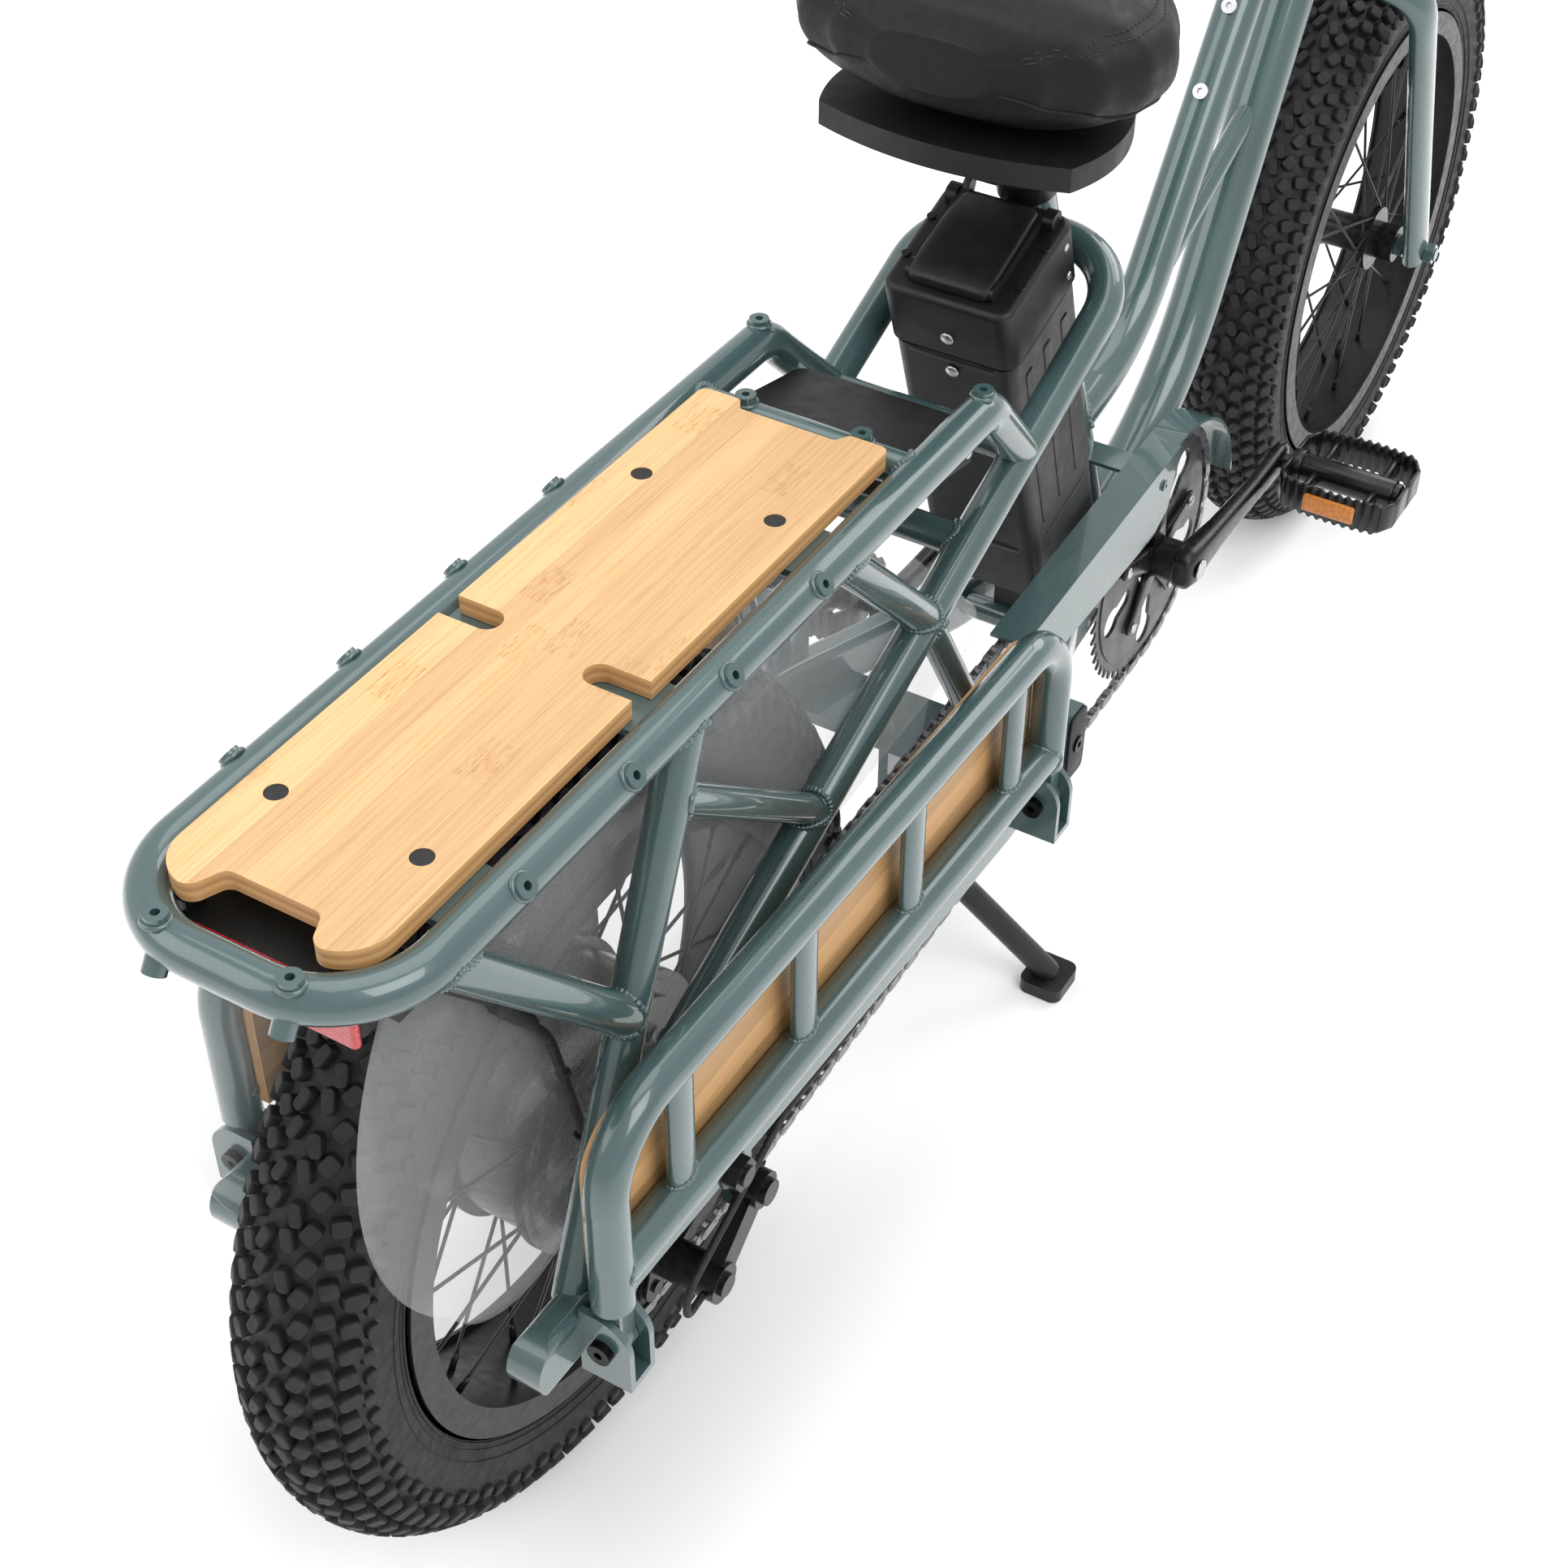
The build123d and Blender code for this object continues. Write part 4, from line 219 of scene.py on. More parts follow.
def tyre_rubber():
    """Matt tyre rubber with scattered patches of dust."""
    m = Mat("tyre_rubber")
    dust = m.noise(24.0, 5.0, 0.65)
    m.into("Base Color", m.ramp(dust, (0.35, (0.0050, 0.0050, 0.0053)), (0.75, (0.0120, 0.0118, 0.0115))))
    m.into("Roughness", m.levels(m.noise(140.0, 3.0), 0.3, 0.7, 0.52, 0.72))
    m.bump(m.noise(700.0, 4.0), 0.22, 0.0006)
    m.value(Specular_IOR_Level=0.4)
    return m.material


def rubber():
    """Matt rubber of grips, hoses and plugs."""
    m = Mat("soft_rubber")
    m.into("Base Color", m.ramp(m.noise(40.0, 4.0), (0.3, (0.006,) * 3), (0.7, (0.012,) * 3)))
    m.into("Roughness", m.levels(m.noise(300.0, 2.0), 0.3, 0.7, 0.55, 0.75))
    m.bump(m.noise(1500.0, 2.0), 0.15, 0.0004)
    return m.material


def bamboo(name, across_axis, thin_axis, light, dark):
    """Laminated bamboo: strips along X, knots across them, dark layers on the cut edges."""
    m = Mat(name)
    split = m.node("ShaderNodeSeparateXYZ", Vector=m.position)
    along, across_out, thin = (split.outputs[i] for i in (0, across_axis, thin_axis))
    strip = m.math("FLOOR", m.math("MULTIPLY", across_out, 1 / 0.0195))
    row = m.node("ShaderNodeTexWhiteNoise", Vector=(0, 0, 0))
    row.noise_dimensions = "1D"
    m.tree.links.new(strip, row.inputs["W"])
    shade = row.outputs["Value"]
    stretch = [900.0, 900.0, 900.0]
    stretch[0] = 14.0
    shifted = m.node("ShaderNodeCombineXYZ", X=m.math("MULTIPLY", shade, 3.0))
    moved = m.node("ShaderNodeVectorMath", operation="ADD", _0=m.position, _1=shifted.outputs[0])
    scaled = m.node("ShaderNodeVectorMath", operation="MULTIPLY", _0=moved.outputs[0], _1=tuple(stretch))
    fibre = m.node("ShaderNodeTexNoise", Vector=scaled.outputs[0], Scale=1.0, Detail=4.0, Roughness=0.6)
    fine = fibre.outputs["Fac"]
    base = m.ramp(fine, (0.28, dark), (0.55, light), (0.8, tuple(min(1.0, c * 1.06) for c in light)))
    tint = m.levels(shade, 0.0, 1.0, 0.80, 1.08)
    tint_colour = m.node("ShaderNodeCombineXYZ", X=tint, Y=tint, Z=tint).outputs[0]
    base = m.mix(1.0, base, tint_colour, "MULTIPLY")
    # Knots: a short band of dark flecks, at another place on each strip.
    place = m.math("ADD", m.math("MULTIPLY", along, 1 / 0.29), m.math("MULTIPLY", shade, 7.3))
    repeat = m.math("FRACT", place)
    band = m.math("LESS_THAN", repeat, 0.11)
    fleck_vector = m.node(
        "ShaderNodeVectorMath", operation="MULTIPLY", _0=m.position, _1=(120.0, 900.0, 900.0)
    )
    flecks = m.node(
        "ShaderNodeTexNoise", Vector=fleck_vector.outputs[0], Scale=1.0, Detail=3.0, Roughness=0.7
    )
    marks = m.levels(flecks.outputs["Fac"], 0.50, 0.66, 0.0, 0.75)
    base = m.mix(
        m.math("MULTIPLY", band, marks), base, tuple(c * s for c, s in zip(dark, (0.72, 0.58, 0.45)))
    )
    # Cut edges show the plies.
    normal = m.node("ShaderNodeSeparateXYZ", Vector=m.node("ShaderNodeNewGeometry").outputs["Normal"])
    facing = m.math("ABSOLUTE", normal.outputs[thin_axis])
    edge = m.math("LESS_THAN", facing, 0.6)
    ply = m.math("FRACT", m.math("MULTIPLY", thin, 1 / 0.006))
    ply_colour = m.ramp(
        ply, (0.1, (0.50, 0.270, 0.105)), (0.5, (0.66, 0.380, 0.155)), (0.9, (0.45, 0.235, 0.088))
    )
    base = m.mix(edge, base, ply_colour)
    m.into("Base Color", base)
    m.into("Roughness", m.levels(fine, 0.3, 0.7, 0.42, 0.56))
    m.bump(fine, 0.10, 0.0006)
    m.value(Coat_Weight=0.15, Coat_Roughness=0.35)
    return m.material


def saddle_leather():
    """Matt black synthetic leather with a pebble grain."""
    m = Mat("saddle_leather")
    m.into(
        "Base Color",
        m.ramp(m.noise(11.0, 4.0), (0.3, (0.0050, 0.0051, 0.0056)), (0.7, (0.0085, 0.0086, 0.0094))),
    )
    cells = m.node("ShaderNodeTexVoronoi", Vector=m.position, Scale=620.0)
    cells.feature = "SMOOTH_F1"
    creases = m.noise(55.0, 6.0, 0.65)
    height = m.math("ADD", cells.outputs["Distance"], m.math("MULTIPLY", creases, 0.8))
    m.into("Roughness", m.levels(m.noise(130.0, 3.0), 0.3, 0.7, 0.44, 0.58))
    m.bump(height, 0.20, 0.0006)
    m.value(Specular_IOR_Level=0.24)
    return m.material


def clear_plastic():
    """Clear polycarbonate, a little smoky, with fine dust."""
    m = Mat("clear_plastic")
    dust = m.noise(260.0, 5.0, 0.7)
    m.into("Base Color", m.ramp(dust, (0.4, (0.78, 0.80, 0.81)), (0.8, (0.88, 0.90, 0.91))))
    m.into("Roughness", m.levels(dust, 0.3, 0.75, 0.03, 0.07))
    m.bump(m.noise(2.5, 1.0), 0.02, 0.004)
    m.value(Alpha=0.13, Coat_Weight=0.6, Coat_Roughness=0.03, IOR=1.55)
    return m.material


def lens(name, colour, rough=0.12):
    """Moulded lens with prism ribs."""
    m = Mat(name)
    cells = m.node("ShaderNodeTexVoronoi", Vector=m.position, Scale=420.0)
    m.into(
        "Base Color",
        m.ramp(cells.outputs["Distance"], (0.1, tuple(c * 0.6 for c in colour)), (0.6, colour)),
    )
    m.into("Roughness", m.levels(m.noise(80.0, 2.0), 0.3, 0.7, rough, rough + 0.12))
    m.bump(cells.outputs["Distance"], 0.3, 0.0008)
    m.value(Coat_Weight=0.7, Coat_Roughness=0.05)
    return m.material


def screw_metal():
    """Zinc screws in the middle of the frame, blackened bolts in the outer hinges."""
    m = Mat("screw_metal")
    across = m.node("ShaderNodeSeparateXYZ", Vector=m.position).outputs[1]
    outer = m.math("GREATER_THAN", m.math("ABSOLUTE", across), 0.1)
    brush = m.noise(90.0, 4.0, vector=m.stretched((3.0, 1.0, 14.0)))
    zinc = m.ramp(brush, (0.3, (0.47, 0.47, 0.47)), (0.7, (0.62, 0.62, 0.64)))
    m.into("Base Color", m.mix(outer, zinc, (0.007, 0.007, 0.0075)))
    m.into("Roughness", m.levels(m.noise(60.0, 4.0), 0.3, 0.7, 0.22, 0.42))
    m.bump(brush, 0.05, 0.0004)
    m.value(Metallic=0.85)
    return m.material


PAINT = frame_paint()
BLACK = black_metal()
GLOSS_BLACK = black_metal("gloss_black", 0.24, 0.006)
SPOKE_BLACK = black_metal("spoke_black", 0.32, 0.006)
STEEL = bare_steel("zinc_steel", 0.62, 0.30)
SCREWS = screw_metal()
DARK_STEEL = bare_steel("dark_steel", 0.13, 0.38)
CHAIN_STEEL = bare_steel("chain_steel", 0.34, 0.34)
PLASTIC = plastic()
BATTERY_PLASTIC = plastic("battery_plastic", 0.006, 0.44, 1700.0)
TYRE = tyre_rubber()
RUBBER = rubber()
DECK = bamboo("bamboo_deck", 1, 2, (0.70, 0.435, 0.205), (0.55, 0.310, 0.130))
PANEL = bamboo("bamboo_panel", 2, 1, (0.58, 0.340, 0.150), (0.45, 0.240, 0.095))
LEATHER = saddle_leather()
CLEAR = clear_plastic()
RED = lens("red_lens", (0.50, 0.012, 0.016))
AMBER = lens("amber_lens", (0.62, 0.20, 0.02))
THREAD = plastic("thread", 0.03, 0.6, 2600.0)

LOOKS = {
    PAINT: (
        "main_frame seat_stays chainstays fold_brackets rack_frame rack_struts chain_guard side_rack_right "
        "side_rack_left fork"
    ),
    BLACK: "bearing_cups rear_rim front_rim seat_post stand_legs stem handlebar front_brake_caliper",
    GLOSS_BLACK: "hub_motor front_hub crankset pedal_right pedal_left brake_lever_right brake_lever_left "
    "derailleur rear_brake_caliper seat_clamp clamp_lever rear_axle",
    SPOKE_BLACK: "rear_spokes front_spokes",
    SCREWS: "frame_screws",
    DARK_STEEL: "cassette chainring",
    CHAIN_STEEL: "chain",
    PLASTIC: "controller_box tail_light_housing saddle_base guide_pulley tension_pulley bar_controls "
    "shift_lever headlight",
    BATTERY_PLASTIC: "battery_case battery_lid battery_handle battery_dock",
    TYRE: "rear_tyre front_tyre",
    RUBBER: "deck_plugs grips front_hoses rear_cables",
    DECK: "deck_board",
    PANEL: "side_panel_right side_panel_left",
    LEATHER: "saddle",
    CLEAR: "wheel_guards",
    RED: "tail_light_lens",
}


def paint_cad_nodes():
    """Give every CAD node its material."""
    for material, names in LOOKS.items():
        for name in names.split():
            data = nodes[name].data
            data.materials.clear()
            data.materials.append(material)


paint_cad_nodes()

# ---------------------------------------------------------------- building helpers


def piece(name, mesh_or_bm, material, body, smooth=True):
    """New object from a mesh, with its material and the body it rides on."""
    if isinstance(mesh_or_bm, bmesh.types.BMesh):
        mesh = bpy.data.meshes.new(name)
        bmesh.ops.recalc_face_normals(mesh_or_bm, faces=mesh_or_bm.faces)
        mesh_or_bm.to_mesh(mesh)
        mesh_or_bm.free()
    else:
        mesh = mesh_or_bm
    materials = material if isinstance(material, (list, tuple)) else [material]
    for one in materials:
        mesh.materials.append(one)
    made = bpy.data.objects.new(name, mesh)
    bpy.context.scene.collection.objects.link(made)
    if smooth:
        mesh.shade_smooth()
    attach(made, body)
    return made


def modify(made, kind, **values):
    """Add a modifier with its settings."""
    modifier = made.modifiers.new(kind.lower(), kind)
    for key, value in values.items():
        setattr(modifier, key, value)
    return modifier


def frame_about(axis):
    """Two unit vectors square to an axis."""
    axis = Vector(axis).normalized()
    other = Vector((0, 0, 1)) if abs(axis.z) < 0.9 else Vector((1, 0, 0))
    side = axis.cross(other).normalized()
    return side, axis.cross(side).normalized()


def add_tube(bm, points, radius, closed=False, sides=8, taper=None):
    """Round tube along points; taper gives a radius factor at each point."""
    rings = []
    count = len(points)
    up = None
    for index, point in enumerate(points):
        before = points[index - 1] if index or closed else point
        after = points[(index + 1) % count] if index + 1 < count or closed else point
        ahead = (after - before).normalized()
        if up is None:
            up, _ = frame_about(ahead)
        up = (up - up.dot(ahead) * ahead).normalized()
        side = ahead.cross(up)
        factor = taper[index] if taper else 1.0
        ring = []
        for k in range(sides):
            angle = 2 * math.pi * k / sides
            ring.append(
                bm.verts.new(point + radius * factor * (math.cos(angle) * up + math.sin(angle) * side))
            )
        rings.append(ring)
    last = count if closed else count - 1
    for index in range(last):
        a, b = rings[index], rings[(index + 1) % count]
        for k in range(sides):
            bm.faces.new((a[k], a[(k + 1) % sides], b[(k + 1) % sides], b[k]))
    if not closed:
        bm.faces.new(rings[0][::-1])
        bm.faces.new(rings[-1])


# ---------------------------------------------------------------- tyres


CARCASS_CENTRE = 0.2412  # from the axle to the middle of the carcass's round section
CARCASS_RADIUS = 0.0411


def tyre_section():
    """Outline of the carcass without its knobs, as (Y, radius)."""
    points = []
    for step in range(-19, 20):
        angle = math.radians(step * 5.2)
        points.append((0.0412 * math.sin(angle), CARCASS_CENTRE + CARCASS_RADIUS * math.cos(angle)))
    low = [(-0.0408, 0.2285), (-0.0392, 0.2205), (-0.0374, 0.2135)]
    return low[::-1] + points + [(-y, r) for y, r in low]


def add_knob(bm, centre, spin, lean, length, width, height, twist=0.0, squeeze=0.88):
    """One tread block; lean is its angle from the crown, spin its angle round the wheel."""
    radius = CARCASS_RADIUS
    out = Vector((math.cos(spin), 0, math.sin(spin)))
    round_way = Vector((-math.sin(spin), 0, math.cos(spin)))
    y_way = Vector((0, 1, 0))
    normal = math.cos(lean) * out + math.sin(lean) * y_way
    cross = -math.sin(lean) * out + math.cos(lean) * y_way
    along = math.cos(twist) * round_way + math.sin(twist) * cross
    wide = -math.sin(twist) * round_way + math.cos(twist) * cross
    foot = centre + CARCASS_CENTRE * out + radius * normal
    rings = []
    for level, scale in ((-0.004, 1.02), (height * 0.55, 0.93), (height, squeeze)):
        ring = []
        for a, b in ((-1, -0.6), (-0.7, -1), (0.7, -1), (1, -0.6), (1, 0.6), (0.7, 1), (-0.7, 1), (-1, 0.6)):
            sag = (b * width / 2 * scale) ** 2 / (2 * radius)
            place = foot + along * (a * length / 2 * scale) + wide * (b * width / 2 * scale)
            ring.append(bm.verts.new(place + normal * (level - sag)))
        rings.append(ring)
    for lower, upper in zip(rings, rings[1:]):
        for k in range(8):
            bm.faces.new((lower[k], lower[(k + 1) % 8], upper[(k + 1) % 8], upper[k]))
    bm.faces.new(rings[-1])
    return rings[-1]


def make_tyre(node, body):
    """Knobbly fat tyre that stands for a CAD tyre."""
    low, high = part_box(node)
    centre = (low + high) / 2
    bm = bmesh.new()
    section = tyre_section()
    turns = 144
    grid = []
    for index in range(turns):
        angle = 2 * math.pi * index / turns
        out = Vector((math.cos(angle), 0, math.sin(angle)))
        grid.append([bm.verts.new(centre + out * r + Vector((0, y, 0))) for y, r in section])
    for index in range(turns):
        a, b = grid[index], grid[(index + 1) % turns]
        for k in range(len(section) - 1):
            bm.faces.new((a[k], b[k], b[k + 1], a[k + 1]))
    steps = 46
    pitch = 2 * math.pi / steps
    deg = math.radians
    for index in range(steps):
        base = index * pitch
        for side in (-1, 1):
            shift = 0.0 if side > 0 else 0.5
            for half in (0, 1):
                at = base + (shift + half * 0.5) * pitch
                wobble = 0.06 * pitch * (1 if half else -1)
                tall = 0.0061
                add_knob(bm, centre, at + wobble, side * deg(8 + 2 * half), 0.0150, 0.0080, tall, side * 0.35)
                add_knob(
                    bm, centre, at + 0.25 * pitch, side * deg(25 - 2 * half), 0.0125, 0.0105, tall, -side * 0.5
                )
                add_knob(bm, centre, at + 0.08 * pitch, side * deg(42), 0.0110, 0.0120, tall, side * 0.3)
                wide = 0.0160 if half else 0.0125
                add_knob(
                    bm, centre, at + 0.28 * pitch, side * deg(60 + 2 * half), 0.0115, wide, 0.0061, side * 0.12
                )
                add_knob(
                    bm, centre, at + 0.05 * pitch, side * deg(78 + 3 * half), 0.0100, 0.0090, 0.0034, side * 0.2
                )
    made = piece(f"{node}_tread", bm, TYRE, body)
    modify(made, "BEVEL", width=0.0006, segments=1, limit_method="ANGLE", angle_limit=deg(38))
    modify(made, "WEIGHTED_NORMAL", keep_sharp=True)
    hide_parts(node)
    add_wall_lines(node, centre, body)
    return made


def add_wall_lines(node, centre, body):
    """Moulded rings on a tyre's side walls and the bead line above the rim."""
    bm = bmesh.new()
    for side in (-1, 1):
        for y, radius, thick in (
            (0.0405, 0.2262, 0.0007),
            (0.0389, 0.2192, 0.0009),
            (0.0380, 0.2152, 0.0011),
        ):
            points = []
            for k in range(120):
                angle = 2 * math.pi * k / 120
                points.append(centre + Vector((radius * math.cos(angle), side * y, radius * math.sin(angle))))
            add_tube(bm, points, thick, closed=True, sides=6)
    made = piece(f"{node}_wall_lines", bm, TYRE, body)


make_tyre("rear_tyre", "rear_wheel_body")
make_tyre("front_tyre", "front_wheel_body")

# ---------------------------------------------------------------- saddle


def smooth_table(table, x):
    """Value of a table of (x, value) at x, through smooth curves."""
    if x <= table[0][0]:
        return table[0][1]
    for (x0, v0), (x1, v1) in zip(table, table[1:]):
        if x <= x1:
            share = (x - x0) / (x1 - x0)
            share = share * share * (3 - 2 * share)
            return v0 + share * (v1 - v0)
    return table[-1][1]


SADDLE_WIDTHS = [
    (0.0, 0.34), (0.03, 0.60), (0.09, 0.86), (0.19, 0.985), (0.29, 1.0), (0.42, 0.89),
    (0.56, 0.62), (0.70, 0.42), (0.84, 0.33), (0.94, 0.27), (1.0, 0.14),
]
SADDLE_TOPS = [
    (0.0, 0.72), (0.05, 0.87), (0.15, 0.98), (0.35, 1.0), (0.6, 0.90), (0.85, 0.86), (0.96, 0.80), (1.0, 0.66),
]
SADDLE_LOWS = [
    (0.0, 0.36), (0.05, 0.20), (0.15, 0.06), (0.35, 0.0), (0.6, 0.02), (0.85, 0.10), (0.96, 0.22), (1.0, 0.42),
]


def saddle_point(box, share, angle, swell=0.0):
    """Point of the saddle's skin: share runs from back to nose, the angle round the section."""
    low, high = box
    half = (high.y - low.y) / 2
    tall = high.z - low.z
    width = half * smooth_table(SADDLE_WIDTHS, share) + swell
    top = low.z + tall * smooth_table(SADDLE_TOPS, share) + swell
    bottom = low.z + tall * smooth_table(SADDLE_LOWS, share)
    middle, reach = (top + bottom) / 2, (top - bottom) / 2
    cos, sin = math.cos(angle), math.sin(angle)
    y = width * math.copysign(abs(cos) ** (0.62 if sin > 0 else 0.72), cos)
    z = middle + reach * math.copysign(abs(sin) ** 0.80, sin)
    if sin > 0:
        dip = 0.045 * math.exp(-(((share - 0.42) / 0.22) ** 2))
        z -= tall * dip * math.exp(-((y / (0.35 * half)) ** 2))
        groove = math.exp(-(((angle if cos > 0 else math.pi - angle) - SEAM_ANGLE) / 0.05) ** 2)
        z -= 0.0016 * groove
        y -= math.copysign(0.0010 * groove, cos)
    else:
        y *= 1 - 0.16 * abs(sin) ** 1.5
    return Vector((low.x + (high.x - low.x) * share, y, z))


SEAM_ANGLE = 0.62


def make_saddle():
    """Broad saddle: crowned top, rolled edge, sewn side panel."""
    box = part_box("saddle")
    bm = bmesh.new()
    rows, around = 56, 72
    rings = []
    for row in range(rows + 1):
        share = 0.5 - 0.5 * math.cos(math.pi * row / rows)
        pinch = 0.55 if row in (0, rows) else 1.0
        ring = []
        for k in range(around):
            at = saddle_point(box, share, 2 * math.pi * (k + 0.5) / around)
            at.y *= pinch
            ring.append(bm.verts.new(at))
        rings.append(ring)
    for a, b in zip(rings, rings[1:]):
        for k in range(around):
            bm.faces.new((a[k], a[(k + 1) % around], b[(k + 1) % around], b[k]))
    bm.faces.new(rings[0][::-1])
    bm.faces.new(rings[-1])
    made = piece("saddle_cushion", bm, LEATHER, "seat_body")
    modify(made, "SUBSURF", levels=1, render_levels=1)
    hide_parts("saddle")

    threads = bmesh.new()
    for side in (0, 1):
        for offset in (-0.060, 0.060):
            points = []
            for step in range(400):
                share = 0.02 + 0.965 * step / 399
                angle = SEAM_ANGLE + offset
                angle = angle if side == 0 else math.pi - angle
                points.append(saddle_point(box, share, angle))
            travelled, last, run = 0.0, points[0], []
            for at in points:
                travelled += (at - last).length
                last = at
                phase = travelled % 0.0046
                if phase < 0.0033:
                    run.append(at)
                elif run:
                    if len(run) > 1:
                        add_tube(
                            threads,
                            [run[0], (run[0] + run[-1]) / 2 + Vector((0, 0, 0.0003)), run[-1]],
                            0.00042,
                            sides=5,
                            taper=(0.6, 1, 0.6),
                        )
                    run = []
    seam = piece("saddle_stitches", threads, THREAD, "seat_body")

    welt = bmesh.new()
    points = []
    for side in (0, 1):
        order = range(0, 121) if side == 0 else range(120, -1, -1)
        for step in order:
            share = 0.012 + 0.976 * step / 120
            angle = -0.38 if side == 0 else math.pi + 0.38
            points.append(saddle_point(box, share, angle))
    add_tube(welt, points, 0.0013, closed=True, sides=8)
    edge = piece("saddle_piping", welt, LEATHER, "seat_body")


make_saddle()

# ---------------------------------------------------------------- welds

S = 0.6405
RAIL_R = 0.0127


def shifted(x, y, z):
    """Millimetres from the rear axle to metres in the row frame."""
    return Vector((x / 1000 - S, y / 1000, z / 1000))


def weld_line(start, ahead, radius, on_point, on_axis, on_radius):
    """Curve where a round tube meets another, nearest to its start."""
    ahead, on_axis = Vector(ahead).normalized(), Vector(on_axis).normalized()
    one, two = frame_about(ahead)
    points = []
    for k in range(64):
        angle = 2 * math.pi * k / 64
        origin = start + radius * (math.cos(angle) * one + math.sin(angle) * two)
        gap = origin - on_point
        gap -= gap.dot(on_axis) * on_axis
        way = ahead - ahead.dot(on_axis) * on_axis
        a, b, c = way.dot(way), 2 * gap.dot(way), gap.dot(gap) - on_radius**2
        root = b * b - 4 * a * c
        if root < 0 or a < 1e-9:
            continue
        points.append(origin + ahead * ((-b + math.sqrt(root)) / (2 * a)))
    return points


WELDS = bmesh.new()


def weld(start, end, radius, on_point, on_axis, on_radius, bead=0.0021):
    """Stacked-ripple weld bead where the tube from start towards end leaves another tube."""
    line = weld_line(start, end - start, radius, on_point, on_axis, on_radius)
    if len(line) < 40:
        return
    fine = []
    for a, b in zip(line, line[1:] + line[:1]):
        fine += [a, a.lerp(b, 0.5)]
    ripple = [1.0 + 0.22 * math.sin(2 * math.pi * k / 4.0 + 0.4) for k in range(len(fine))]
    add_tube(WELDS, fine, bead, closed=True, sides=8, taper=ripple)


def add_welds():
    """Beads at the joints of the rack, stays and main frame."""
    struts = [
        ((20, 80, 612), (-142, 101, 312)),
        ((-192, 80, 611), (-62, 91.5, 463)),
        ((180, 80, 612), (306, 73, 486)),
        ((306, 73, 486), (398, 99, 288)),
        ((1, 83, 570), (170, 73, 427)),
    ]
    stay_axis = Vector((1, 0, 0.43)).normalized()
    for side in (-1, 1):
        rail = (shifted(0, 80 * side, 615), Vector((1, 0, 0)), RAIL_R)
        stay = (shifted(0, 73 * side, 354), stay_axis, RAIL_R)
        ends = [tuple(shifted(x, y * side, z) for x, y, z in strut) for strut in struts]
        main = (ends[0][0], ends[0][1] - ends[0][0], 0.012)
        weld(ends[0][0], ends[0][1], 0.012, *rail)
        weld(ends[1][0], ends[1][1], 0.012, *rail)
        weld(ends[2][0], ends[2][1], 0.012, *rail)
        weld(ends[2][1], ends[2][0], 0.012, *stay)
        weld(ends[1][1], ends[1][0], 0.012, *main)
        weld(ends[4][0], ends[4][1], 0.012, *main)
        weld(ends[4][1], ends[4][0], 0.012, *stay)
        weld(ends[3][0], ends[3][1], 0.012, *stay)
        cross = (shifted(275, 0, 615), shifted(275, 90 * side, 615))
        weld(shifted(275, 80 * side, 615), shifted(275, 0, 615), 0.011, *rail)
        weld(shifted(362, 73 * side, 509.7), shifted(362, 0, 509.7), 0.011, *stay)
        for x in (-74, 59, 190, 327):
            share = (x + 145) / 529
            top = 467 - 14 * share
            low = 357 - 13 * share
            y = 131.5 * side
            slope_top = (shifted(-145, y, 467), Vector((529, 0, -14)), RAIL_R)
            slope_low = (shifted(-145, y, 357), Vector((529, 0, -13)), RAIL_R)
            for start, end, on in (
                ((x, y, top), (x, y, low), slope_top),
                ((x, y, low), (x, y, top), slope_low),
            ):
                points = weld_line(shifted(*start), shifted(*end) - shifted(*start), 0.006, *on)
                if points:
                    middle = shifted(x, y, 0)
                    wide = [Vector((middle.x + (p.x - middle.x) * 2.0, p.y, p.z)) for p in points]
                    RACK_WELDS[side].append(wide)
        for x, z in ((-145, 357), (384, 344)):
            on = (shifted(x, 131.5 * side, 0), Vector((0, 0, 1)), RAIL_R)
            inward = 60 if x < 0 else -60
            points = weld_line(shifted(x, 131.5 * side, z), Vector((inward, 0, 0)), 0.0127, *on)
            if points:
                RACK_WELDS[side].append(points)
    head = (shifted(1234, 0, 271), Vector((-0.342, 0, 0.940)), 0.025)
    weld(shifted(1041, 0, 800), shifted(900, 0, 600), 0.0175, *head, bead=0.0026)
    weld(shifted(1084, 0, 683.5), shifted(950, 0, 443), 0.021, *head, bead=0.0026)
    seat = (shifted(735, 0, 265), Vector((-0.4247, 0, 1)), 0.01745)
    weld(shifted(675.5, 0, 405), shifted(755, 0, 421), 0.0172, *seat)
    stays = piece("frame_welds", WELDS, PAINT, "frame_body")
    for side, name in ((-1, "right"), (1, "left")):
        bm = bmesh.new()
        for points in RACK_WELDS[side]:
            ripple = [1.0 + 0.2 * math.sin(2 * math.pi * k / 4.0) for k in range(len(points))]
            add_tube(bm, points, 0.0015, closed=True, sides=7, taper=ripple)
        made = piece(f"side_rack_welds_{name}", bm, PAINT, f"side_rack_{name}_body")


RACK_WELDS = {-1: [], 1: []}
add_welds()

# ---------------------------------------------------------------- cranks and pedals

CRANK_AT = shifted(736, 0, 265)
CRANK_TURN = math.radians(2.5)


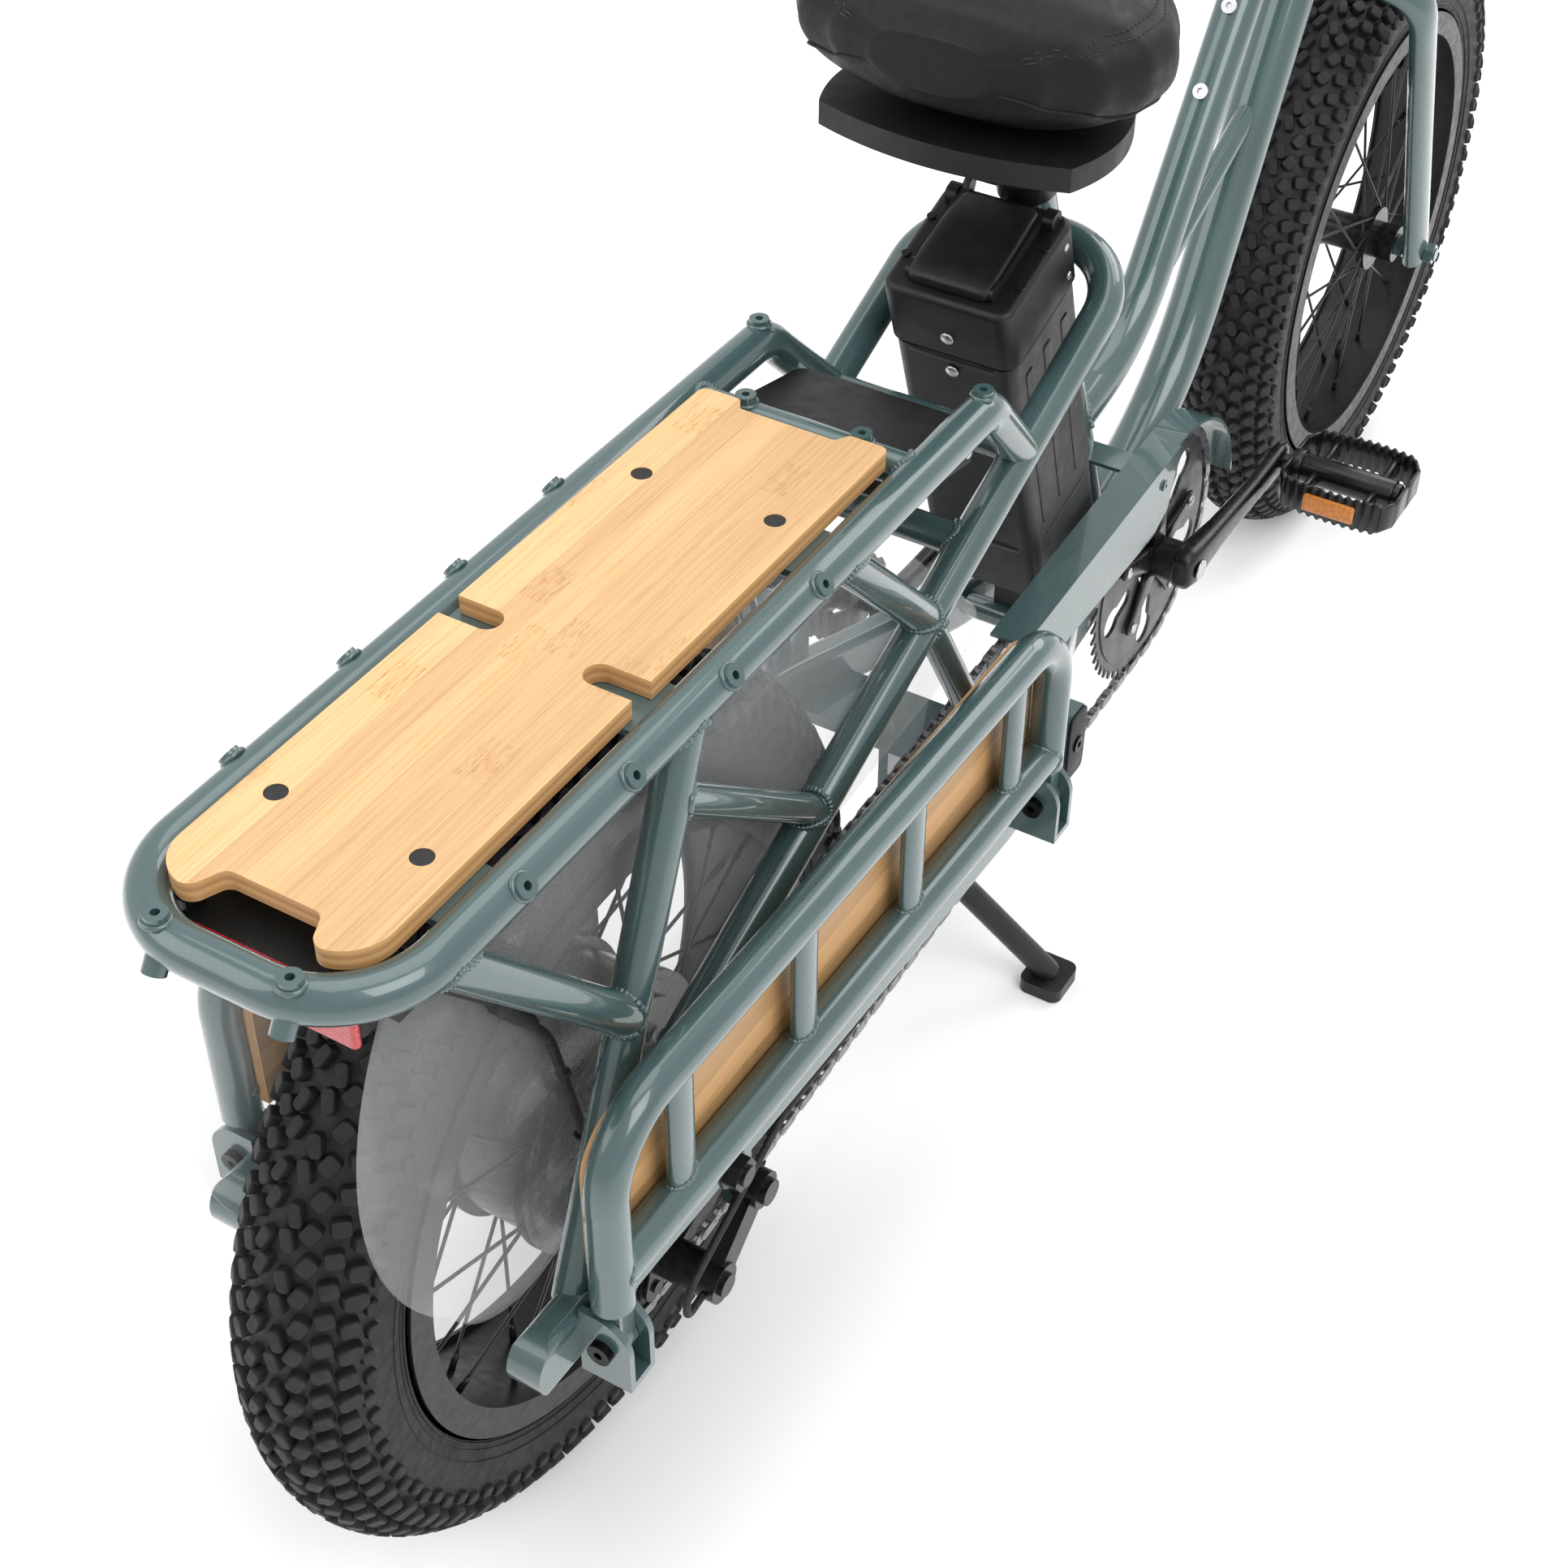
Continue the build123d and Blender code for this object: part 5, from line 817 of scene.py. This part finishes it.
def add_loft(bm, stations, corners=20, power=0.5):
    """Closed loft through stations of (centre, across, up, half width, half height).

    Each section is a square with round corners.
    """
    rings = []
    for centre, across, up, wide, tall in stations:
        ring = []
        for k in range(corners):
            angle = 2 * math.pi * (k + 0.5) / corners
            cos, sin = math.cos(angle), math.sin(angle)
            a = math.copysign(abs(cos) ** power, cos) * wide
            b = math.copysign(abs(sin) ** power, sin) * tall
            ring.append(bm.verts.new(centre + across * a + up * b))
        rings.append(ring)
    for a, b in zip(rings, rings[1:]):
        for k in range(corners):
            bm.faces.new((a[k], a[(k + 1) % corners], b[(k + 1) % corners], b[k]))
    bm.faces.new(rings[0][::-1])
    bm.faces.new(rings[-1])


def add_disc(bm, centre, axis, radius, low, high, sides=40, edge=0.0008):
    """Short round bar with softened rims."""
    axis = Vector(axis).normalized()
    one, two = frame_about(axis)
    rings = []
    for level, shrink in ((low, edge), (low + edge, 0.0), (high - edge, 0.0), (high, edge)):
        ring = []
        for k in range(sides):
            angle = 2 * math.pi * k / sides
            ring.append(
                bm.verts.new(
                    centre
                    + axis * level
                    + (radius - shrink) * (math.cos(angle) * one + math.sin(angle) * two)
                )
            )
        rings.append(ring)
    for a, b in zip(rings, rings[1:]):
        for k in range(sides):
            bm.faces.new((a[k], a[(k + 1) % sides], b[(k + 1) % sides], b[k]))
    bm.faces.new(rings[0][::-1])
    bm.faces.new(rings[-1])


def make_cranks():
    """Forged, tapered crank arms on a spindle, with the ring's spider."""
    bm = bmesh.new()
    y_way = Vector((0, 1, 0))
    add_disc(bm, CRANK_AT, y_way, 0.0085, -0.086, 0.086, 24)
    for side, sense in ((-1, 1), (1, -1)):
        along = Vector((sense * math.cos(CRANK_TURN), 0, sense * math.sin(CRANK_TURN)))
        up = Vector((-along.z, 0, along.x))
        stations = []
        for share, out, wide, thick in (
            (-0.085, 0.089, 0.010, 0.006), (-0.07, 0.089, 0.0155, 0.0095), (0.0, 0.089, 0.0178, 0.0120),
            (0.10, 0.090, 0.0160, 0.0105), (0.30, 0.092, 0.0128, 0.0082), (0.70, 0.095, 0.0112, 0.0070),
            (0.90, 0.096, 0.0125, 0.0068), (1.0, 0.096, 0.0135, 0.0068), (1.06, 0.096, 0.0110, 0.0062),
            (1.078, 0.096, 0.006, 0.004),
        ):
            centre = CRANK_AT + along * (0.170 * share) + y_way * (side * out)
            stations.append((centre, up, y_way, wide, thick))
        add_loft(bm, stations, 28, 0.62)
        low, high = sorted((side * 0.064, side * 0.084))
        add_disc(bm, CRANK_AT, y_way, 0.0170, low, high)
    for k in range(5):
        angle = math.radians(72 * k + 18)
        out = Vector((math.cos(angle), 0, math.sin(angle)))
        up = Vector((-out.z, 0, out.x))
        stations = [
            (CRANK_AT + out * reach + y_way * -0.0618, up, y_way, wide, thick)
            for reach, wide, thick in (
                (0.012, 0.013, 0.0034),
                (0.03, 0.0095, 0.0030),
                (0.05, 0.0068, 0.0024),
                (0.064, 0.0072, 0.0022),
                (0.069, 0.004, 0.0018),
            )
        ]
        add_loft(bm, stations, 20, 0.6)
    made = piece("crank_arms", bm, GLOSS_BLACK, "crank_body")
    modify(made, "WEIGHTED_NORMAL", keep_sharp=False)
    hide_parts("crankset")
    bolts = bmesh.new()
    for side in (-1, 1):
        low, high = sorted((side * 0.1005, side * 0.1030))
        add_disc(bolts, CRANK_AT, y_way, 0.0085, low, high, 28)
    for k in range(5):
        angle = math.radians(72 * k + 18)
        at = CRANK_AT + 0.062 * Vector((math.cos(angle), 0, math.sin(angle)))
        add_disc(bolts, at, y_way, 0.0046, -0.0658, -0.0632, 20)
    screws = piece("crank_bolts", bolts, STEEL, "crank_body")


def make_pedal(side, name):
    """Open cage pedal: serrated plates, end arms, barrel and reflectors."""
    body = f"pedal_{name}_body"
    sense = -side
    at = CRANK_AT + 0.170 * Vector((sense * math.cos(CRANK_TURN), 0, sense * math.sin(CRANK_TURN)))
    x_way, y_way, z_way = Vector((1, 0, 0)), Vector((0, side, 0)), Vector((0, 0, 1))

    def spot(x, y, z):
        return at + x_way * x + y_way * y + z_way * z

    bm = bmesh.new()
    add_disc(bm, at, y_way, 0.0068, 0.086, 0.116, 28)
    add_disc(bm, at, y_way, 0.0125, 0.112, 0.200, 32)
    add_disc(bm, at, y_way, 0.0150, 0.110, 0.120, 32)
    add_disc(bm, at, y_way, 0.0105, 0.198, 0.205, 32)
    for sx in (-1, 1):
        # Long serrated plate: teeth along the top and the bottom edge.
        rows = []
        count = 44
        for k in range(count + 1):
            y = 0.118 + 0.084 * k / count
            tooth = 0.0026 if k % 4 in (1, 2) else 0.0
            bow = 0.004 * (1 - ((y - 0.160) / 0.042) ** 2)
            x = sx * (0.0405 + bow)
            rows.append([
                bm.verts.new(spot(x + sx * 0.0016, y, 0.0125 + tooth)),
                bm.verts.new(spot(x - sx * 0.0016, y, 0.0125 + tooth)),
                bm.verts.new(spot(x - sx * 0.0016, y, -0.0125 - tooth)),
                bm.verts.new(spot(x + sx * 0.0016, y, -0.0125 - tooth)),
            ])
        for a, b in zip(rows, rows[1:]):
            for k in range(4):
                bm.faces.new((a[k], a[(k + 1) % 4], b[(k + 1) % 4], b[k]))
        bm.faces.new(rows[0][::-1])
        bm.faces.new(rows[-1])
        for y0, x0, y1, x1 in (
            (0.118, 0.0405, 0.111, 0.028),
            (0.111, 0.028, 0.111, 0.0),
            (0.202, 0.0405, 0.209, 0.028),
            (0.209, 0.028, 0.209, 0.0),
        ):
            a, b = spot(sx * x0, y0, 0), spot(sx * x1, y1, 0)
            way = (b - a).normalized()
            flat = way.cross(z_way).normalized()
            stations = [
                (a - way * 0.001, z_way, flat, 0.0125, 0.0019),
                (b + way * 0.001, z_way, flat, 0.0125, 0.0019),
            ]
            add_loft(bm, stations, 12, 0.35)
        for y in (0.134, 0.186):
            stations = [
                (spot(sx * 0.008, y, 0), z_way, y_way, 0.0060, 0.0035),
                (spot(sx * 0.025, y, 0), z_way, y_way, 0.0075, 0.0030),
                (spot(sx * 0.042, y, 0), z_way, y_way, 0.0100, 0.0035),
            ]
            add_loft(bm, stations, 16, 0.5)
    made = piece(f"pedal_cage_{name}", bm, GLOSS_BLACK, body)
    modify(made, "BEVEL", width=0.0005, segments=1, limit_method="ANGLE", angle_limit=math.radians(35))
    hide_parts(f"pedal_{name}")
    bm = bmesh.new()
    for sx in (-1, 1):
        stations = [
            (spot(sx * 0.0470, y, 0), z_way, x_way, tall, 0.0017)
            for y, tall in ((0.1380, 0.0070), (0.1395, 0.0080), (0.1805, 0.0080), (0.1820, 0.0070))
        ]
        add_loft(bm, stations, 20, 0.35)
    amber = piece(f"pedal_reflectors_{name}", bm, AMBER, body)


make_cranks()
make_pedal(-1, "right")
make_pedal(1, "left")

# ---------------------------------------------------------------- wheel details


def wheel_details(node, body, flange_radius, flange_y, lead):
    """Spoke nipples and a valve stem."""
    low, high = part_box(node)
    centre = (low + high) / 2
    bm = bmesh.new()
    for index in range(36):
        side = 1 if index % 2 else -1
        odd = index // 2 % 2
        offset = 0.0017 if odd else -0.0017
        at_rim = math.radians(10 * index)
        at_hub = at_rim + math.radians(lead if odd else -lead)
        start = Vector(
            (
                (flange_radius - 0.005) * math.cos(at_hub),
                side * flange_y + offset,
                (flange_radius - 0.005) * math.sin(at_hub),
            )
        )
        end = Vector((0.1985 * math.cos(at_rim), side * 0.012 + offset, 0.1985 * math.sin(at_rim)))
        way = (start - end).normalized()
        foot = end + way * 0.0030
        add_tube(
            bm,
            [centre + foot, centre + foot + way * 0.0100, centre + foot + way * 0.0135],
            0.0024,
            sides=8,
            taper=(1.0, 0.95, 0.62),
        )
    made = piece(f"{node}_nipples", bm, SPOKE_BLACK, body)
    bm = bmesh.new()
    angle = math.radians(-67)
    out = Vector((math.cos(angle), 0, math.sin(angle)))
    foot = centre + out * 0.196
    add_tube(bm, [foot, foot - out * 0.024], 0.0034, sides=16)
    add_tube(
        bm,
        [foot - out * 0.022, foot - out * 0.031, foot - out * 0.034],
        0.0042,
        sides=16,
        taper=(1.0, 1.0, 0.7),
    )
    valve = piece(f"{node}_valve", bm, RUBBER, body)


wheel_details("rear_rim", "rear_wheel_body", 0.094, 0.028, 12.0)
wheel_details("front_rim", "front_wheel_body", 0.030, 0.035, 60.0)

# ---------------------------------------------------------------- small parts of the frame


def add_ring(bm, centre, axis, radius, thick, count=48, sides=8):
    one, two = frame_about(axis)
    points = [
        centre
        + radius
        * (math.cos(2 * math.pi * k / count) * one + math.sin(2 * math.pi * k / count) * two)
        for k in range(count)
    ]
    add_tube(bm, points, thick, closed=True, sides=sides)


def small_parts():
    """Plug and clips of the motor cable, boss weld fillets and end caps on the outriggers."""
    bm = bmesh.new()
    route = [shifted(-142, -66.5, 533), shifted(-131, -66.5, 518), shifted(-112, -66.5, 489)]
    add_tube(
        bm,
        [route[0], route[0].lerp(route[1], 0.3), route[1], route[1].lerp(route[2], 0.5), route[2]],
        0.0062,
        sides=20,
        taper=(0.62, 1, 1, 0.9, 0.6),
    )
    for at in ((-90, -66.8, 430), (-82, -69.5, 372)):
        add_ring(bm, shifted(*at), Vector((0.2, 0, 1)), 0.0036, 0.0012)
    made = piece("cable_plug", bm, RUBBER, "frame_body")

    bm = bmesh.new()
    fillets = []
    for x in (-250.0, 275.0):
        for side in (-1, 1):
            fillets.append((shifted(x, 40.5 * side, 626.9 if x < 0 else 625.6), Vector((0, 0, 1)), 0.0068))
    tilt = math.radians(35)
    for side in (-1, 1):
        out = Vector((0, side * math.cos(tilt), math.sin(tilt)))
        for x in (143.0, 49.0, -45.0, -139.0):
            fillets.append((shifted(x, 80 * side, 615) + out * 0.0126, out, 0.0068))
        fillets.append((shifted(355, 80 * side, 627.4), Vector((0, 0, 1)), 0.0068))
    for at, axis, radius in fillets:
        add_ring(bm, at, axis, radius, 0.0016, 32)
    beads = piece("boss_welds", bm, PAINT, "frame_body")

    bm = bmesh.new()
    for side in (-1, 1):
        add_loft(
            bm,
            [
                (
                    shifted(437.5, side * (130.0 + y), 312.0),
                    Vector((1, 0, 0)),
                    Vector((0, 0, 1)),
                    0.0132,
                    0.0285,
                )
                for y in (0.0, 2.4)
            ],
            24,
            0.3,
        )
    caps = piece("outrigger_caps", bm, PLASTIC, "frame_body")
    modify(caps, "BEVEL", width=0.0008, segments=2, limit_method="ANGLE")


small_parts()

# ---------------------------------------------------------------- battery details

BATTERY_UP = Vector((-math.cos(math.radians(71.2)), 0, math.sin(math.radians(71.2))))
BATTERY_FRONT = Vector((BATTERY_UP.z, 0, -BATTERY_UP.x))


def battery_spot(x, y, z):
    """Point in the battery's frame, millimetres from the lid's rear top edge."""
    return shifted(451, 0, 619) + BATTERY_FRONT * x / 1000 + Vector((0, y / 1000, 0)) + BATTERY_UP * z / 1000


def battery_details():
    """Lid crown with its flap, moulded steps and rear screws."""
    y_way = Vector((0, 1, 0))
    bm = bmesh.new()
    # Belt under the lid and shallow panels on the case's sides
    for z in (-56.0, -250.0):
        stations = [
            (battery_spot(50, 0, z - d), BATTERY_FRONT, y_way, 0.0492 + e, 0.0452 + e)
            for d, e in ((-3.2, -0.0006), (-2.4, 0.0006), (2.4, 0.0006), (3.2, -0.0006))
        ]
        add_loft(bm, stations, 48, 0.30)
    for side in (-1, 1):
        for x in (24.0, 50.0, 76.0):
            stations = [
                (battery_spot(x, side * 45.0, z), BATTERY_FRONT, y_way, w, 0.0007)
                for z, w in ((-232.0, 0.004), (-230.0, 0.0055), (-74.0, 0.0055), (-72.0, 0.004))
            ]
            add_loft(bm, stations, 16, 0.5)
    made = piece("battery_ribs", bm, BATTERY_PLASTIC, "battery_body")
    bm = bmesh.new()
    for z in (-34.0, -66.0):
        add_disc(bm, battery_spot(0, 0, z), BATTERY_FRONT, 0.0048, -0.0016, 0.001, 28)
    for side in (-1, 1):
        add_disc(bm, battery_spot(84, side * 47.3, -14), y_way * side, 0.0030, -0.0005, 0.0012, 24)
        add_disc(bm, battery_spot(84, side * 47.3, -40), y_way * side, 0.0030, -0.0005, 0.0012, 24)
    screws = piece("battery_screws", bm, STEEL, "battery_body")
    bm = bmesh.new()
    stations = [
        (battery_spot(x, 0, z), y_way, BATTERY_UP, w, h)
        for x, z, w, h in (
            (8, 5.4, 0.027, 0.0036),
            (12, 6.4, 0.030, 0.0048),
            (30, 7.4, 0.030, 0.0052),
            (60, 7.6, 0.0295, 0.0052),
            (84, 6.0, 0.0285, 0.0046),
            (89, 5.0, 0.026, 0.0032),
        )
    ]
    add_loft(bm, stations, 36, 0.32)
    flap = piece("battery_flap", bm, BATTERY_PLASTIC, "battery_handle_body")
    modify(flap, "BEVEL", width=0.0012, segments=2, limit_method="ANGLE")


battery_details()

# ---------------------------------------------------------------- floor and light


def studio():
    """Pale floor and soft light from above and both sides."""
    bm = bmesh.new()
    bmesh.ops.create_grid(bm, x_segments=1, y_segments=1, size=12.0)
    mesh = bpy.data.meshes.new("floor")
    bm.to_mesh(mesh)
    bm.free()
    m = Mat("floor_white")
    m.into("Base Color", m.ramp(m.noise(0.4, 1.0), (0.3, (0.94, 0.94, 0.94)), (0.7, (0.96, 0.96, 0.96))))
    m.value(Roughness=0.9, Specular_IOR_Level=0.05)
    mesh.materials.append(m.material)
    floor = bpy.data.objects.new("floor", mesh)
    floor.location = (0, 0, -0.0005)
    bpy.context.scene.collection.objects.link(floor)
    world = bpy.data.worlds.new("studio")
    world.use_nodes = True
    background = world.node_tree.nodes["Background"]
    background.inputs["Color"].default_value = (1, 1, 1, 1)
    background.inputs["Strength"].default_value = 0.85
    bpy.context.scene.world = world
    bpy.context.scene.view_settings.view_transform = "Standard"
    lamps = (
        ("key", (-1.2, -2.6, 3.4), 2.4, 72.0),
        ("fill", (-2.4, 2.2, 2.6), 2.6, 40.0),
        ("front", (2.8, -0.6, 2.6), 2.2, 45.0),
        ("top", (0.2, 0.3, 3.8), 2.8, 42.0),
    )
    for name, place, size, power in lamps:
        data = bpy.data.lights.new(name, "AREA")
        data.shape = "SQUARE"
        data.size = size
        data.energy = power
        lamp = bpy.data.objects.new(name, data)
        lamp.location = place
        lamp.rotation_euler = (Vector((0, 0, 0.4)) - Vector(place)).to_track_quat("-Z", "Y").to_euler()
        bpy.context.scene.collection.objects.link(lamp)


studio()
